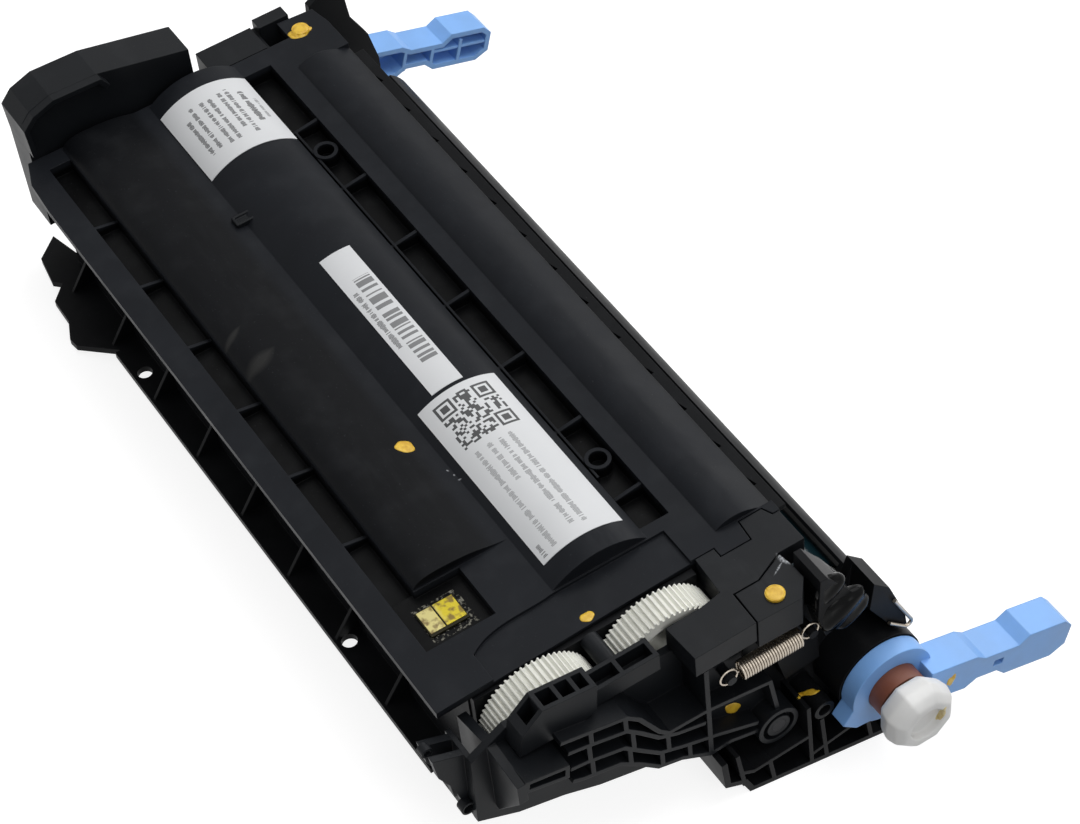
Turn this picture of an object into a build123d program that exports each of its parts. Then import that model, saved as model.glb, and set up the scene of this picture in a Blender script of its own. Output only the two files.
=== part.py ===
from build123d import *
from math import atan2, cos, degrees, hypot, radians, sin, sqrt
import os

# All-in-one colour laser toner cartridge: a toner unit hinged to a drum unit.
#
# Frame of the drawing: X runs along the cartridge, from the plain far end to the geared
# near end, Y runs across it towards the drum, and Z is square to the top plate, whose
# upper face is z = 0. The cartridge rests on a table with that plate tilted, so each
# finished piece is laid down by RESTING before it is written, with its origin under the
# middle of the whole cartridge. Millimetres throughout.

os.makedirs("parts", exist_ok=True)

# Rest on the table: tilt of the plate, and height of its zero line
rest_tilt = 13.0
plate_height = 57.5

# Fits
slip = 0.3
running_fit = 0.05
seam = 0.4

# Stations along X: the rollers' ends drive all the others
roller_far = -25.0
roller_near = 215.0
roller_end_room = 13.5
tub_far = roller_far - 13.0
tub_near = roller_near + roller_end_room
bearing_plate_thick = 2.7
near_plate_far = tub_near + slip
far_plate_near = tub_far - slip
far_plate_far = far_plate_near - bearing_plate_thick
gear_side_gap = 1.0
gear_width = 10.0
gear_far = near_plate_far + bearing_plate_thick + gear_side_gap
gear_near = gear_far + gear_width
plate_far = tub_far - 2.0
plate_near = gear_far - 1.5

# Top plate
plate_left = -12.3
plate_right = 108.0
plate_thick = 2.5
rib_pitch = 32.5
rib_thick = 1.2
rib_count = 7
rib_drop = 0.8

# Left channel and right recess in the top plate
channel_left = -3.5
channel_right = 4.5
channel_depth = 5.0
channel_far = plate_far + 7.0
recess_left = 70.6
recess_right = 81.0
recess_depth = 6.0
recess_far = plate_far + 8.0
recess_near = plate_near - 21.0
tray_wall = 1.6
recess_boss_radius = 4.2
recess_boss_bore = 2.9
recess_boss_places = (14.0, recess_near - 31.0)
recess_boss_gap = 0.6
recess_rib_gap = 1.4
recess_rib_thick = 0.8
recess_rib_overhang = 6.0

# Three long bulges of the top plate
dome_wall = 2.0
feed_dome_ridge_y = 14.5
feed_dome_ridge_z = 3.6
feed_dome_right = 37.4
feed_dome_near = plate_near - 41.0
label_dome_left = 37.6
label_dome_right = 70.6
label_dome_height = 6.0
label_dome_near = plate_near - 17.0
roller_dome_left = 88.0
roller_dome_ridge_y = 93.0
roller_dome_ridge_z = 2.4
roller_dome_drop = 2.2
roller_dome_far = plate_far + 15.0
roller_dome_near = plate_near - 7.0

# Lower strip along the near edge of the top plate
near_strip_drop = 1.2
near_strip_left = 7.0
near_strip_right = 76.0

# Memory chip and its pocket
chip_pocket_far = feed_dome_near + 0.5
chip_pocket_length = 20.5
chip_pocket_near = chip_pocket_far + chip_pocket_length
channel_near = chip_pocket_near
chip_pocket_left = 0.5
chip_pocket_right = 20.0
chip_pocket_depth = 3.2
chip_length = 12.5
chip_width = 12.0
chip_thick = 1.0
chip_edge_gap = 1.0

# Labels on the middle bulge
label_thick = 0.2
label_lift = 0.02
far_label_length = 36.5
far_label_left = 37.9
far_label_right = 70.3
bar_label_length = 69.5
bar_label_left = 46.4
bar_label_right = 57.6
code_label_length = 71.5
code_label_left = 40.0
code_label_right = 67.4
label_spacing = 1.5
far_label_far = plate_far + 9.0
code_label_far = label_dome_near - 8.0 - code_label_length
bar_label_far = code_label_far - label_spacing - bar_label_length

# Toner tub under the plate
tub_wall = 2.0
end_wall = 2.5
agitator_y = (17.8, 58.8)
agitator_z = -17.2
trough_radius = 16.8
chamber_right = 108.0
chamber_floor = -46.0
mouth_top = -31.5
mouth_left = 96.3
skirt_bottom = -50.0
rail_thick = 2.5
rail_left = -10.5
rail_far = 8.0
rail_near = tub_near - 14.5
rail_hole_radius = 2.6
rail_hole_places = (22.0, rail_near - 55.0)
rail_hole_y = -6.4
skirt_rib_count = 9
skirt_rib_inset = 12.0
skirt_rib_height = 12.0
passage_drop = 9.0
ledge_top = -4.8
ledge_right = 113.0
ledge_thick = 2.4
ledge_notch_pitch = 18.3
ledge_notch_length = 8.0
ledge_notch_count = 13
foot_width = 7.0
foot_length = 14.0
bracket_steps = ((-62.3, -2.9), (-55.0, -11.3), (-42.9, -13.1), (-40.0, -10.5), (-33.8, -16.5),
                 (-22.7, -16.8), (-14.8, -20.2), (-11.0, -19.7), (-0.4, -8.9), (0.4, -8.9))

# Gear train: module and numbers of teeth
gear_module = 0.6
gear_gap = 0.1
agitator_tooth_count = 62
middle_idler_tooth_count = 22
side_idler_tooth_count = 18
supply_tooth_count = 27
developer_tooth_count = 21
drum_tooth_count = 45
hub_radius = 6.0
gear_rim = 4.2
gear_recess_far = 3.0
gear_recess_near = 4.5

# Drum and rollers
drum_y = 119.5
drum_z = -53.0
drum_radius = 12.0
drum_wall = 0.8
drum_tube_far = roller_far - 9.0
drum_tube_near = roller_near + 11.0
drum_neck_radius = 5.0
journal_radius = 6.0
far_journal_radius = 4.0
flange_depth = 8.0
developer_radius = 7.8
developer_bearing_angle = 141.0
supply_radius = 6.4
supply_bearing_angle = 152.0
roller_shaft_radius = 3.0
charge_radius = 4.25
charge_shaft_radius = 2.0
charge_angle = 200.0
charge_squeeze_gap = 0.05
shaft_overhang = 0.7
agitator_reaches = (15.0, 13.4)
agitator_short_reach = 10.8
film_thick = 0.4

# Drum unit
pivot_y = 84.3
pivot_z = -55.3
pivot_radius = 2.5
frame_far = tub_far
frame_near = tub_near + 0.5
frame_wall = 2.0
frame_end_wall = 3.0
frame_rib_count = 9
bin_left = 62.4
bin_top = -49.5
bin_left_bottom = -65.2
bin_right = 99.0
bin_floor_right = (106.5, -77.3)
bin_lip = (109.6, -66.4)
drum_clearance = 0.8
web_thick = 3.0
drum_plate_near_web = gear_near + 3.0
drum_plate_near_face = drum_plate_near_web + 16.5
drum_plate_far_web = frame_far - 23.0
drum_plate_far_face = drum_plate_far_web - web_thick - 2.0
rib_web = 1.4
foot_left = 71.0
foot_right = 122.2
rim_thick = 2.0
boss_radius = 15.0
guide_height = 10.5
pin_fit = 0.03

# Cleaning blade, its bracket and the bin's seal
blade_angle = -125.0
blade_thick = 1.0
blade_free_length = 15.0
blade_slope = 23.4
bracket_thick = 1.2
bracket_start = 7.5
bracket_end = 18.5
seal_thick = 0.4

# Levers
lever_width = 12.0
lever_ring_width = 6.0
lever_ring_radius = 14.5
lever_droop = -17.0
lever_length = 66.0
lever_tip_rise = 5.0
lever_shell = 2.0

# Bush and drive coupling on the drum's near end
bush_radius = 8.7
bush_far = drum_plate_near_face - 6.0
coupling_radius = 11.5
coupling_far = drum_plate_near_face + lever_width
coupling_near = coupling_far + 12.0
coupling_rounding = 2.5
socket_depth = 3.0
socket_wall = 3.0

# Drum shutter
shutter_inner = 15.3
shutter_thick = 1.2
shutter_end = -35.0
shutter_sweep = 90.0
shutter_arm_thick = 2.3
shutter_far = frame_far - 3.8
shutter_arm_near = frame_near + 0.5

# End plates of the toner unit
plate_drop = 3.1
idler_pin_radius = 2.5
idler_pin_end = gear_near - 0.2
idler_shoulder = 1.5

# Doctor blade
blade_gap = 0.3
doctor_blade_thick = 0.6
doctor_blade_y = 103.1
doctor_blade_height = 18.0
holder_bottom = -27.0
holder_top = -12.0
holder_thick = 2.3

# Ear of the hinge on the gear cover
cover_far = gear_near + 1.0
ear_far = cover_far + 7.0
ear_front = cover_far + 14.5
ear_thick = 2.0
ear_boss_length = 8.5
ear_ring_radius = 7.2
ear_ring_wall = 1.6

# Tension spring and its posts
spring_x = ear_far + 5.5
spring_radius = 2.5
spring_wire = 0.8
spring_turns = 20
spring_post_radius = 1.6
spring_left_post = (69.0, -20.0)
spring_right_post = (98.0, -20.5)
spring_post_end = spring_x + 2.8

# Screws with paint on their heads
screw_head_radius = 3.0
screw_head_height = 0.8
screw_shank_radius = 1.2
screw_length = 7.0
screw_places = ((plate_near + 21.9, 88.8), (plate_far - 1.0, 98.0))

# Gear cover and end caps
cover_web = 2.5
cover_front = ear_front
cover_left = -11.0
cover_rim_thick = 1.6
cover_boss_radius = 3.0
cover_boss_places = ((38.3, -4.5), (2.5, -34.0), (53.0, -39.0))
shelf_thick = 1.5
hump_near = cover_far + 10.5
hump_wall = 1.4
wall_near = cover_far + 7.5
wall_drop = 7.0
slot_near = cover_far + 18.5
fin_far = near_plate_far + 0.4
fin_y = -5.5
fin_thick = 3.0
step_y = 60.8
hook_places = (gear_far + 0.5, gear_far + 7.0)
hook_width = 2.4
far_cover_far = far_plate_far - 5.0
far_cover_wall = 2.4
far_cover_rim = 12.0
far_cover_rim_thick = 1.8
corner_block_thick = 2.2
corner_skirt_drop = 8.7
corner_skirt_wall = 1.4
screw_block_depth = 12.0
hook_tip = (-20.8, -4.0)


def yz(x):
    """Sketch plane across the cartridge at station x, seen from the near end."""
    return Plane.YZ.offset(x)


def outline(plane, *points):
    """Closed polygon on a plane."""
    with BuildSketch(plane) as face:
        with BuildLine():
            Polyline(*points, close=True)
        make_face()
    return face.sketch


def disc(x, centre, radius):
    """Round face across the cartridge."""
    with BuildSketch(yz(x)) as face:
        with Locations(centre):
            Circle(radius)
    return face.sketch


def polar(centre, radius, angle):
    """Point at a distance and an angle, in degrees, from a centre."""
    return (centre[0] + radius * cos(radians(angle)), centre[1] + radius * sin(radians(angle)))


def table_z(y):
    """Height of the table under the tilted cartridge, in the drawing's frame."""
    return -(plate_height + y * sin(radians(rest_tilt))) / cos(radians(rest_tilt))


def rested_y(y, z):
    """Distance across the table of a point of the tilted cartridge."""
    return y * cos(radians(rest_tilt)) - z * sin(radians(rest_tilt))


def lever_point(u, v):
    """Point along and across the lever, which droops from the drum's axis."""
    lean = radians(lever_droop)
    return (drum_y + u * cos(lean) - v * sin(lean), drum_z + u * sin(lean) + v * cos(lean))


def write(piece, label):
    """Lay a finished piece down as the cartridge rests, and write it."""
    piece.part = RESTING * piece.part
    piece.part.label = label
    export_step(piece.part, f"parts/{label}.step")


# Origin under the middle of the whole: from the far lever to the hub, from hooks to lever tips
origin_x = (drum_plate_far_face - slip - lever_width + coupling_near) / 2
origin_y = (rested_y(*hook_tip) + rested_y(*lever_point(lever_length, lever_tip_rise))) / 2
RESTING = Location((-origin_x, -origin_y, plate_height), (rest_tilt, 0, 0))

# Centres of the shafts
DRUM = (drum_y, drum_z)
PIVOT = (pivot_y, pivot_z)
AGITATORS = [(y, agitator_z) for y in agitator_y]
developer_distance = gear_module * (drum_tooth_count + developer_tooth_count) / 2 + gear_gap
DEVELOPER = polar(DRUM, developer_distance, developer_bearing_angle)
supply_distance = gear_module * (developer_tooth_count + supply_tooth_count) / 2 + gear_gap
SUPPLY = polar(DEVELOPER, supply_distance, supply_bearing_angle)
CHARGE = polar(DRUM, drum_radius + charge_radius + charge_squeeze_gap, charge_angle)


def between(first, first_teeth, second, second_teeth, teeth, side):
    """Centre of an idler that meshes with two gears, on one side of their line."""
    reach_first = gear_module * (first_teeth + teeth) / 2 + gear_gap
    reach_second = gear_module * (second_teeth + teeth) / 2 + gear_gap
    run_y = second[0] - first[0]
    run_z = second[1] - first[1]
    span = hypot(run_y, run_z)
    along = (reach_first ** 2 - reach_second ** 2 + span ** 2) / (2 * span)
    off = side * sqrt(reach_first ** 2 - along ** 2)
    return (first[0] + (along * run_y - off * run_z) / span,
            first[1] + (along * run_z + off * run_y) / span)


MIDDLE_IDLER = between(AGITATORS[0], agitator_tooth_count, AGITATORS[1], agitator_tooth_count,
                       middle_idler_tooth_count, -1)
SIDE_IDLER = between(AGITATORS[1], agitator_tooth_count, SUPPLY, supply_tooth_count,
                     side_idler_tooth_count, 1)


def meshed_phase(first, first_teeth, first_phase, second, teeth):
    """Angle of a tooth of the second gear when it meshes with the first."""
    bearing = degrees(atan2(second[1] - first[1], second[0] - first[0]))
    first_pitch = 360 / first_teeth
    pitch = 360 / teeth
    offset = (bearing - first_phase) / first_pitch
    return bearing + 180 - pitch * (0.5 - offset)


def gear_face(x, centre, teeth, phase, bore_radius):
    """Spur gear outline: each tooth is a trapezium with a little backlash."""
    pitch_radius = gear_module * teeth / 2
    tip = pitch_radius + 0.85 * gear_module
    root = pitch_radius - 1.1 * gear_module
    pitch = 360 / teeth
    points = []
    for tooth in range(teeth):
        angle = phase + tooth * pitch
        points.append(polar(centre, root, angle - 0.31 * pitch))
        points.append(polar(centre, tip, angle - 0.12 * pitch))
        points.append(polar(centre, tip, angle + 0.12 * pitch))
        points.append(polar(centre, root, angle + 0.31 * pitch))
    with BuildSketch(yz(x)) as face:
        with BuildLine():
            Polyline(*points, close=True)
        make_face()
        with Locations(centre):
            Circle(bore_radius, mode=Mode.SUBTRACT)
    return face.sketch


# Top plate with its channel, recess, bulges and ribs
plate_outline = (
    (plate_far, -8.0), (plate_far + 10, plate_left + 0.7), (plate_far + 24, plate_left),
    (plate_near, plate_left), (plate_near - 2.4, 76.9), (plate_near - 2.4, 84.3),
    (plate_near + 1.2, 84.3), (plate_near + 1.2, 94.6), (plate_near - 6.4, 95.4),
    (plate_near - 6.4, 104.0), (plate_near - 2.8, 105.6), (plate_near - 2.8, plate_right),
    (plate_far + 1, plate_right), (plate_far - 8, 106.5), (plate_far - 9, 93.0), (plate_far, 93.0),
)


def feed_dome_face(x, lower):
    """Section of the left bulge, let down by a wall for its hollow."""
    with BuildSketch(yz(x)) as face:
        with BuildLine():
            rise = Spline((channel_right + lower, -lower),
                          (feed_dome_ridge_y, feed_dome_ridge_z - lower),
                          (25.5, 2.6 - lower),
                          (feed_dome_right - lower, -lower),
                          tangents=((0.45, 1), (1, -0.14)))
            Line(rise @ 1, (feed_dome_right - lower, -lower - plate_thick))
            Line((feed_dome_right - lower, -lower - plate_thick),
                 (channel_right + lower, -lower - plate_thick))
            Line((channel_right + lower, -lower - plate_thick), rise @ 0)
        make_face()
    return face.sketch


def label_dome_face(x, lower):
    """Section of the middle bulge: a circular arc over its two edges."""
    left = label_dome_left + lower
    right = label_dome_right - lower
    top = label_dome_height - lower
    with BuildSketch(yz(x)) as face:
        with BuildLine():
            ThreePointArc((left, -lower / 2), ((left + right) / 2, top), (right, -lower / 2))
            Polyline((right, -lower / 2), (right, -plate_thick - lower),
                     (left, -plate_thick - lower), (left, -lower / 2))
        make_face()
    return face.sketch


def roller_dome_face(x, lower):
    """Section of the right bulge: steep on its left, then falling to the plate's edge."""
    with BuildSketch(yz(x)) as face:
        with BuildLine():
            crown = Spline((roller_dome_left + lower, -lower / 2),
                           (roller_dome_ridge_y, roller_dome_ridge_z - lower),
                           (plate_right - lower, -roller_dome_drop - lower / 2),
                           tangents=((0.8, 1), (1, -0.45)))
            Line(crown @ 1, (plate_right - lower, -roller_dome_drop - plate_thick))
            Line((plate_right - lower, -roller_dome_drop - plate_thick),
                 (roller_dome_left + lower, -roller_dome_drop - plate_thick))
            Line((roller_dome_left + lower, -roller_dome_drop - plate_thick), crown @ 0)
        make_face()
    return face.sketch


feed_dome_length = feed_dome_near - (plate_far + 1)
label_dome_length = label_dome_near - (plate_far + 1)
roller_dome_length = roller_dome_near - roller_dome_far

with BuildPart() as hopper_lid:
    extrude(outline(Plane.XY, *plate_outline), amount=-plate_thick)
    # Trays that hang under the channel and the recess
    extrude(outline(Plane.XY, (channel_far - tray_wall, channel_left - tray_wall),
                    (channel_near + tray_wall, channel_left - tray_wall),
                    (channel_near + tray_wall, channel_right + tray_wall),
                    (channel_far - tray_wall, channel_right + tray_wall)),
            amount=-channel_depth - tray_wall)
    extrude(outline(Plane.XY, (recess_far - tray_wall, recess_left - tray_wall),
                    (recess_near + tray_wall, recess_left - tray_wall),
                    (recess_near + tray_wall, recess_right + tray_wall),
                    (recess_far - tray_wall, recess_right + tray_wall)),
            amount=-recess_depth - tray_wall)
    # The edge strip under the right bulge drops to the ledge
    extrude(outline(Plane.XY, (roller_dome_far, roller_dome_left), (roller_dome_near, roller_dome_left),
                    (roller_dome_near, plate_right), (roller_dome_far, plate_right)),
            amount=-plate_thick, mode=Mode.SUBTRACT)
    extrude(roller_dome_face(roller_dome_far, 0), amount=roller_dome_length)
    extrude(roller_dome_face(roller_dome_far + dome_wall, dome_wall),
            amount=roller_dome_length - 2 * dome_wall, mode=Mode.SUBTRACT)
    extrude(feed_dome_face(plate_far + 1, 0), amount=feed_dome_length)
    extrude(label_dome_face(plate_far + 1, 0), amount=label_dome_length)
    # Chip pocket, sunk in the flat beyond the left bulge
    extrude(outline(Plane.XY, (feed_dome_near, channel_right + 1), (chip_pocket_near + 8, channel_right + 1),
                    (chip_pocket_near + 8, feed_dome_right), (feed_dome_near, feed_dome_right)),
            amount=-plate_thick - chip_pocket_depth)
    extrude(outline(Plane.XY, (channel_far, channel_left), (channel_near, channel_left),
                    (channel_near, channel_right), (channel_far, channel_right)),
            amount=-channel_depth, mode=Mode.SUBTRACT)
    extrude(outline(Plane.XY, (recess_far, recess_left), (recess_near, recess_left),
                    (recess_near, recess_right), (recess_far, recess_right)),
            amount=-recess_depth, mode=Mode.SUBTRACT)
    extrude(outline(Plane.XY, (chip_pocket_far, chip_pocket_left), (chip_pocket_near, chip_pocket_left),
                    (chip_pocket_near, chip_pocket_right), (chip_pocket_far, chip_pocket_right)),
            amount=-chip_pocket_depth, mode=Mode.SUBTRACT)
    extrude(outline(Plane.XY.offset(-chip_pocket_depth),
                    (chip_pocket_far - tray_wall, channel_left - tray_wall),
                    (chip_pocket_near + tray_wall, channel_left - tray_wall),
                    (chip_pocket_near + tray_wall, chip_pocket_right),
                    (chip_pocket_far - tray_wall, chip_pocket_right)),
            amount=-plate_thick)
    # Hollows of the two left bulges, open to the tub
    extrude(feed_dome_face(plate_far + 1 + dome_wall, dome_wall),
            amount=feed_dome_length - 2 * dome_wall, mode=Mode.SUBTRACT)
    extrude(label_dome_face(plate_far + 1 + dome_wall, dome_wall),
            amount=label_dome_length - 2 * dome_wall, mode=Mode.SUBTRACT)
    # Lower strip before the gears, with a curved step up to the plate
    with BuildSketch():
        with BuildLine():
            step = Spline((plate_near - 11.2, near_strip_left), (plate_near - 15.3, 17.8),
                          (plate_near - 15.9, 31.8), (label_dome_near + 0.6, label_dome_left))
            Polyline(step @ 1, (label_dome_near + 0.6, near_strip_right), (plate_near, near_strip_right),
                     (plate_near, near_strip_left), step @ 0)
        make_face()
    extrude(amount=-near_strip_drop, mode=Mode.SUBTRACT)
    # Cross ribs in the channel and the recess
    for number in range(rib_count):
        station = number * rib_pitch
        if station < chip_pocket_far - rib_thick:
            extrude(outline(yz(station - rib_thick / 2), (channel_left, -channel_depth),
                            (channel_right, -channel_depth), (channel_right, -rib_drop - 1.6),
                            (channel_left, -rib_drop)),
                    amount=rib_thick)
        if station < recess_near - rib_thick:
            extrude(outline(yz(station - rib_thick / 2), (recess_left, -recess_depth),
                            (recess_right, -recess_depth), (recess_right, -rib_drop),
                            (recess_left, -rib_drop - 1.6)),
                    amount=rib_thick)
    # Round bosses and the thin long rib in the recess
    for station in recess_boss_places:
        with BuildSketch(Plane.XY.offset(-recess_depth)):
            with Locations((station, recess_right - recess_boss_radius - recess_boss_gap)):
                Circle(recess_boss_radius)
                Circle(recess_boss_bore, mode=Mode.SUBTRACT)
        extrude(amount=recess_depth - rib_drop - 0.8)
    rib_left = recess_left + recess_rib_gap
    rib_near = recess_boss_places[1] + recess_rib_overhang
    extrude(outline(Plane.XY.offset(-recess_depth), (0, rib_left), (rib_near, rib_left),
                    (rib_near, rib_left + recess_rib_thick), (0, rib_left + recess_rib_thick)),
            amount=recess_depth - rib_drop - 1.2)
    with Locations((*screw_places[1], 0)):
        Hole(screw_shank_radius + running_fit, depth=plate_thick)

write(hopper_lid, "hopper_lid")


# Toner tub: two troughs, a roller chamber with an open mouth, and the left guide rail
def tub_face(x, grow):
    """Section of the tub; grow is its wall for the outside and 0 for the inside."""
    top = -plate_thick
    first_left = agitator_y[0] - trough_radius - grow
    last_right = agitator_y[1] + trough_radius
    with BuildSketch(yz(x)) as face:
        for centre in AGITATORS:
            with Locations(centre):
                Circle(trough_radius + grow)
        with BuildLine():
            Polyline((first_left, agitator_z), (last_right + grow, agitator_z),
                     (last_right + grow, top), (first_left, top), close=True)
        make_face()
        with BuildLine():
            if grow:
                Polyline((last_right, top), (chamber_right, top), (chamber_right, mouth_top),
                         (mouth_left + 0.8, chamber_floor), (last_right, chamber_floor), close=True)
            else:
                Polyline((last_right + tub_wall, top), (chamber_right - tub_wall, top),
                         (chamber_right - tub_wall, mouth_top), (chamber_right + 1, mouth_top),
                         (chamber_right + 1, chamber_floor - 1), (mouth_left, chamber_floor - 1),
                         (mouth_left, chamber_floor + tub_wall),
                         (last_right + tub_wall, chamber_floor + tub_wall), close=True)
        make_face()
    return face.sketch


tub_length = tub_near - tub_far
tub_left = agitator_y[0] - trough_radius - tub_wall
skirt_rib_pitch = (tub_length - 2 * skirt_rib_inset) / (skirt_rib_count - 1)

with BuildPart() as hopper_tub:
    extrude(tub_face(tub_far, tub_wall), amount=tub_length)
    # Skirt and guide rail down the left side, with ribs between the skirt and the trough
    extrude(outline(yz(tub_far), (tub_left, agitator_z), (tub_left + tub_wall, agitator_z),
                    (tub_left + tub_wall, skirt_bottom), (tub_left, skirt_bottom)),
            amount=tub_length)
    extrude(outline(Plane.XY.offset(skirt_bottom), (rail_far, rail_left), (rail_near, rail_left),
                    (rail_near, tub_left + tub_wall), (rail_far, tub_left + tub_wall)),
            amount=-rail_thick)
    # Stepped bracket that runs on from the rail past the far end
    extrude(outline(Plane.XY.offset(skirt_bottom), *((rail_far + u, y) for u, y in bracket_steps),
                    (rail_far + 0.4, tub_left + tub_wall), (tub_far, tub_left + tub_wall)),
            amount=-rail_thick)
    for number in range(skirt_rib_count):
        station = tub_far + skirt_rib_inset + number * skirt_rib_pitch
        extrude(outline(yz(station - rib_thick / 2), (tub_left + tub_wall, agitator_z),
                        (agitator_y[0] - 3, agitator_z - trough_radius - 1),
                        (agitator_y[0] - 8, skirt_bottom), (tub_left + tub_wall, skirt_bottom)),
                amount=rib_thick)
        extrude(outline(yz(station - rib_thick / 2), (tub_left, skirt_bottom + skirt_rib_height),
                        (tub_left, skirt_bottom), (rail_left + 1, skirt_bottom)),
                amount=rib_thick)
    for station in rail_hole_places:
        with BuildSketch(Plane.XY.offset(skirt_bottom)):
            with Locations((station, rail_hole_y)):
                Circle(rail_hole_radius)
        extrude(amount=-rail_thick, mode=Mode.SUBTRACT)
    extrude(tub_face(tub_far + end_wall, 0), amount=tub_length - 2 * end_wall, mode=Mode.SUBTRACT)
    # The lid closes the tub, so nothing stands above its underside
    with BuildSketch(yz(tub_far - 1)):
        with Locations((50, -plate_thick - slip)):
            Rectangle(200, 60, align=(Align.CENTER, Align.MIN))
    extrude(amount=tub_length + 2, mode=Mode.SUBTRACT)
    # The left wall stops under the lid's channel tray
    tray_floor = -channel_depth - tray_wall - slip
    extrude(outline(yz(tub_far + end_wall), (tub_left - 1, 0), (channel_right + tray_wall + slip, 0),
                    (channel_right + tray_wall + slip, tray_floor), (tub_left - 1, tray_floor)),
            amount=tub_length - 2 * end_wall, mode=Mode.SUBTRACT)
    # The right wall stops under the lid's right bulge
    bulge_floor = -roller_dome_drop - plate_thick - slip
    extrude(outline(yz(tub_far), (roller_dome_left - 1, 0), (chamber_right + 1, 0),
                    (chamber_right + 1, bulge_floor), (roller_dome_left - 1, bulge_floor)),
            amount=tub_length, mode=Mode.SUBTRACT)
    # Toner passes over the walls between the chambers
    passage_top = -plate_thick - slip
    extrude(outline(yz(tub_far + end_wall), (agitator_y[0], passage_top),
                    (chamber_right - tub_wall, passage_top),
                    (chamber_right - tub_wall, passage_top - passage_drop),
                    (agitator_y[0], passage_top - passage_drop)),
            amount=tub_length - 2 * end_wall, mode=Mode.SUBTRACT)
    # Room for the developing roller's ends, and bores for the other shafts
    extrude(disc(tub_far - 1, DEVELOPER, roller_shaft_radius + 1.5), amount=tub_length + 2,
            mode=Mode.SUBTRACT)
    for centre in [*AGITATORS, SUPPLY]:
        extrude(disc(tub_far - 1, centre, roller_shaft_radius + running_fit), amount=tub_length + 2,
                mode=Mode.SUBTRACT)
    # Ledge beside the lid's right edge, with its row of notches
    extrude(outline(yz(roller_dome_far), (chamber_right - tub_wall, ledge_top - 1.4),
                    (ledge_right, ledge_top - 0.6), (ledge_right, ledge_top - ledge_thick),
                    (chamber_right - tub_wall, ledge_top - ledge_thick - 0.8)),
            amount=roller_dome_length)
    for number in range(ledge_notch_count):
        station = roller_dome_far + 10 + number * ledge_notch_pitch
        extrude(outline(Plane.XY, (station, chamber_right + 0.6),
                        (station + ledge_notch_length, chamber_right + 0.6),
                        (station + ledge_notch_length, chamber_right + 2.6)),
                amount=ledge_top - 1.4 - 0.9, mode=Mode.SUBTRACT)
    # Feet under both ends of the skirt
    for foot_far in (tub_far, rail_near):
        extrude(outline(yz(foot_far), (tub_left - foot_width, skirt_bottom),
                        (tub_left + tub_wall, skirt_bottom),
                        (tub_left + tub_wall, table_z(tub_left + tub_wall)),
                        (tub_left - foot_width, table_z(tub_left - foot_width))),
                amount=foot_length)

write(hopper_tub, "hopper_tub")


def strip(plane, width, *points):
    """Band of even width along an open line."""
    with BuildSketch(plane) as face:
        with BuildLine():
            Polyline(*points)
        trace(line_width=width)
    return face.sketch


# Blade that meters the toner on the developing roller, and its steel holder
blade_lower = DEVELOPER[1] + sqrt((developer_radius + blade_gap) ** 2 - (DEVELOPER[0] - doctor_blade_y) ** 2)
blade_upper = blade_lower + doctor_blade_height
with BuildPart() as doctor_blade:
    extrude(outline(yz(roller_far), (doctor_blade_y, blade_lower), (doctor_blade_y, blade_upper),
                    (doctor_blade_y - doctor_blade_thick, blade_upper),
                    (doctor_blade_y - doctor_blade_thick, blade_lower + 0.1)),
            amount=roller_near - roller_far)

write(doctor_blade, "doctor_blade")

with BuildPart() as doctor_blade_holder:
    holder_left = doctor_blade_y + slip
    extrude(outline(yz(roller_far - 6), (holder_left, holder_bottom),
                    (holder_left + holder_thick, holder_bottom),
                    (holder_left + holder_thick, holder_top), (holder_left, holder_top)),
            amount=roller_near - roller_far + 12)

write(doctor_blade_holder, "doctor_blade_holder")


# End plates that carry the shafts
def bearing_face(x, *edge):
    """Plate across the end of the tub with the shaft holes; edge closes its lower side."""
    with BuildSketch(yz(x)) as face:
        with BuildLine():
            Polyline((tub_left + 0.5, -plate_drop), (76, -plate_drop), (76, -9), (107, -9), (109, -36),
                     (108.5, -44), (103, -47.5), *edge, close=True)
        make_face()
        for centre in [*AGITATORS, SUPPLY, DEVELOPER]:
            with Locations(centre):
                Circle(roller_shaft_radius + running_fit, mode=Mode.SUBTRACT)
    return face.sketch


with BuildPart() as near_bearing_plate:
    extrude(bearing_face(near_plate_far, (78, -47.5), (64, -45), (46, -43), (44, -38),
                         (tub_left + 0.5, -38)),
            amount=bearing_plate_thick)
    for centre in (MIDDLE_IDLER, SIDE_IDLER):
        extrude(disc(near_plate_far + bearing_plate_thick, centre, idler_pin_radius),
                amount=idler_pin_end - near_plate_far - bearing_plate_thick)
        extrude(disc(near_plate_far + bearing_plate_thick, centre, idler_pin_radius + 1.5),
                amount=gear_far - near_plate_far - bearing_plate_thick - slip)

write(near_bearing_plate, "near_bearing_plate")

with BuildPart() as far_bearing_plate:
    extrude(bearing_face(far_plate_far, (95, -47.5), (91, -55), (84, -61.5), (77.5, -57), (76, -47.5),
                         (60, -38), (tub_left + 0.5, -38)),
            amount=bearing_plate_thick)
    extrude(disc(far_plate_far, PIVOT, pivot_radius + running_fit), amount=bearing_plate_thick,
            mode=Mode.SUBTRACT)

write(far_bearing_plate, "far_bearing_plate")


# Agitators: a shaft along each trough, a film paddle on it and a gear at its near end
shaft_far = far_plate_far + 0.6
shaft_near = gear_near + shaft_overhang


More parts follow.
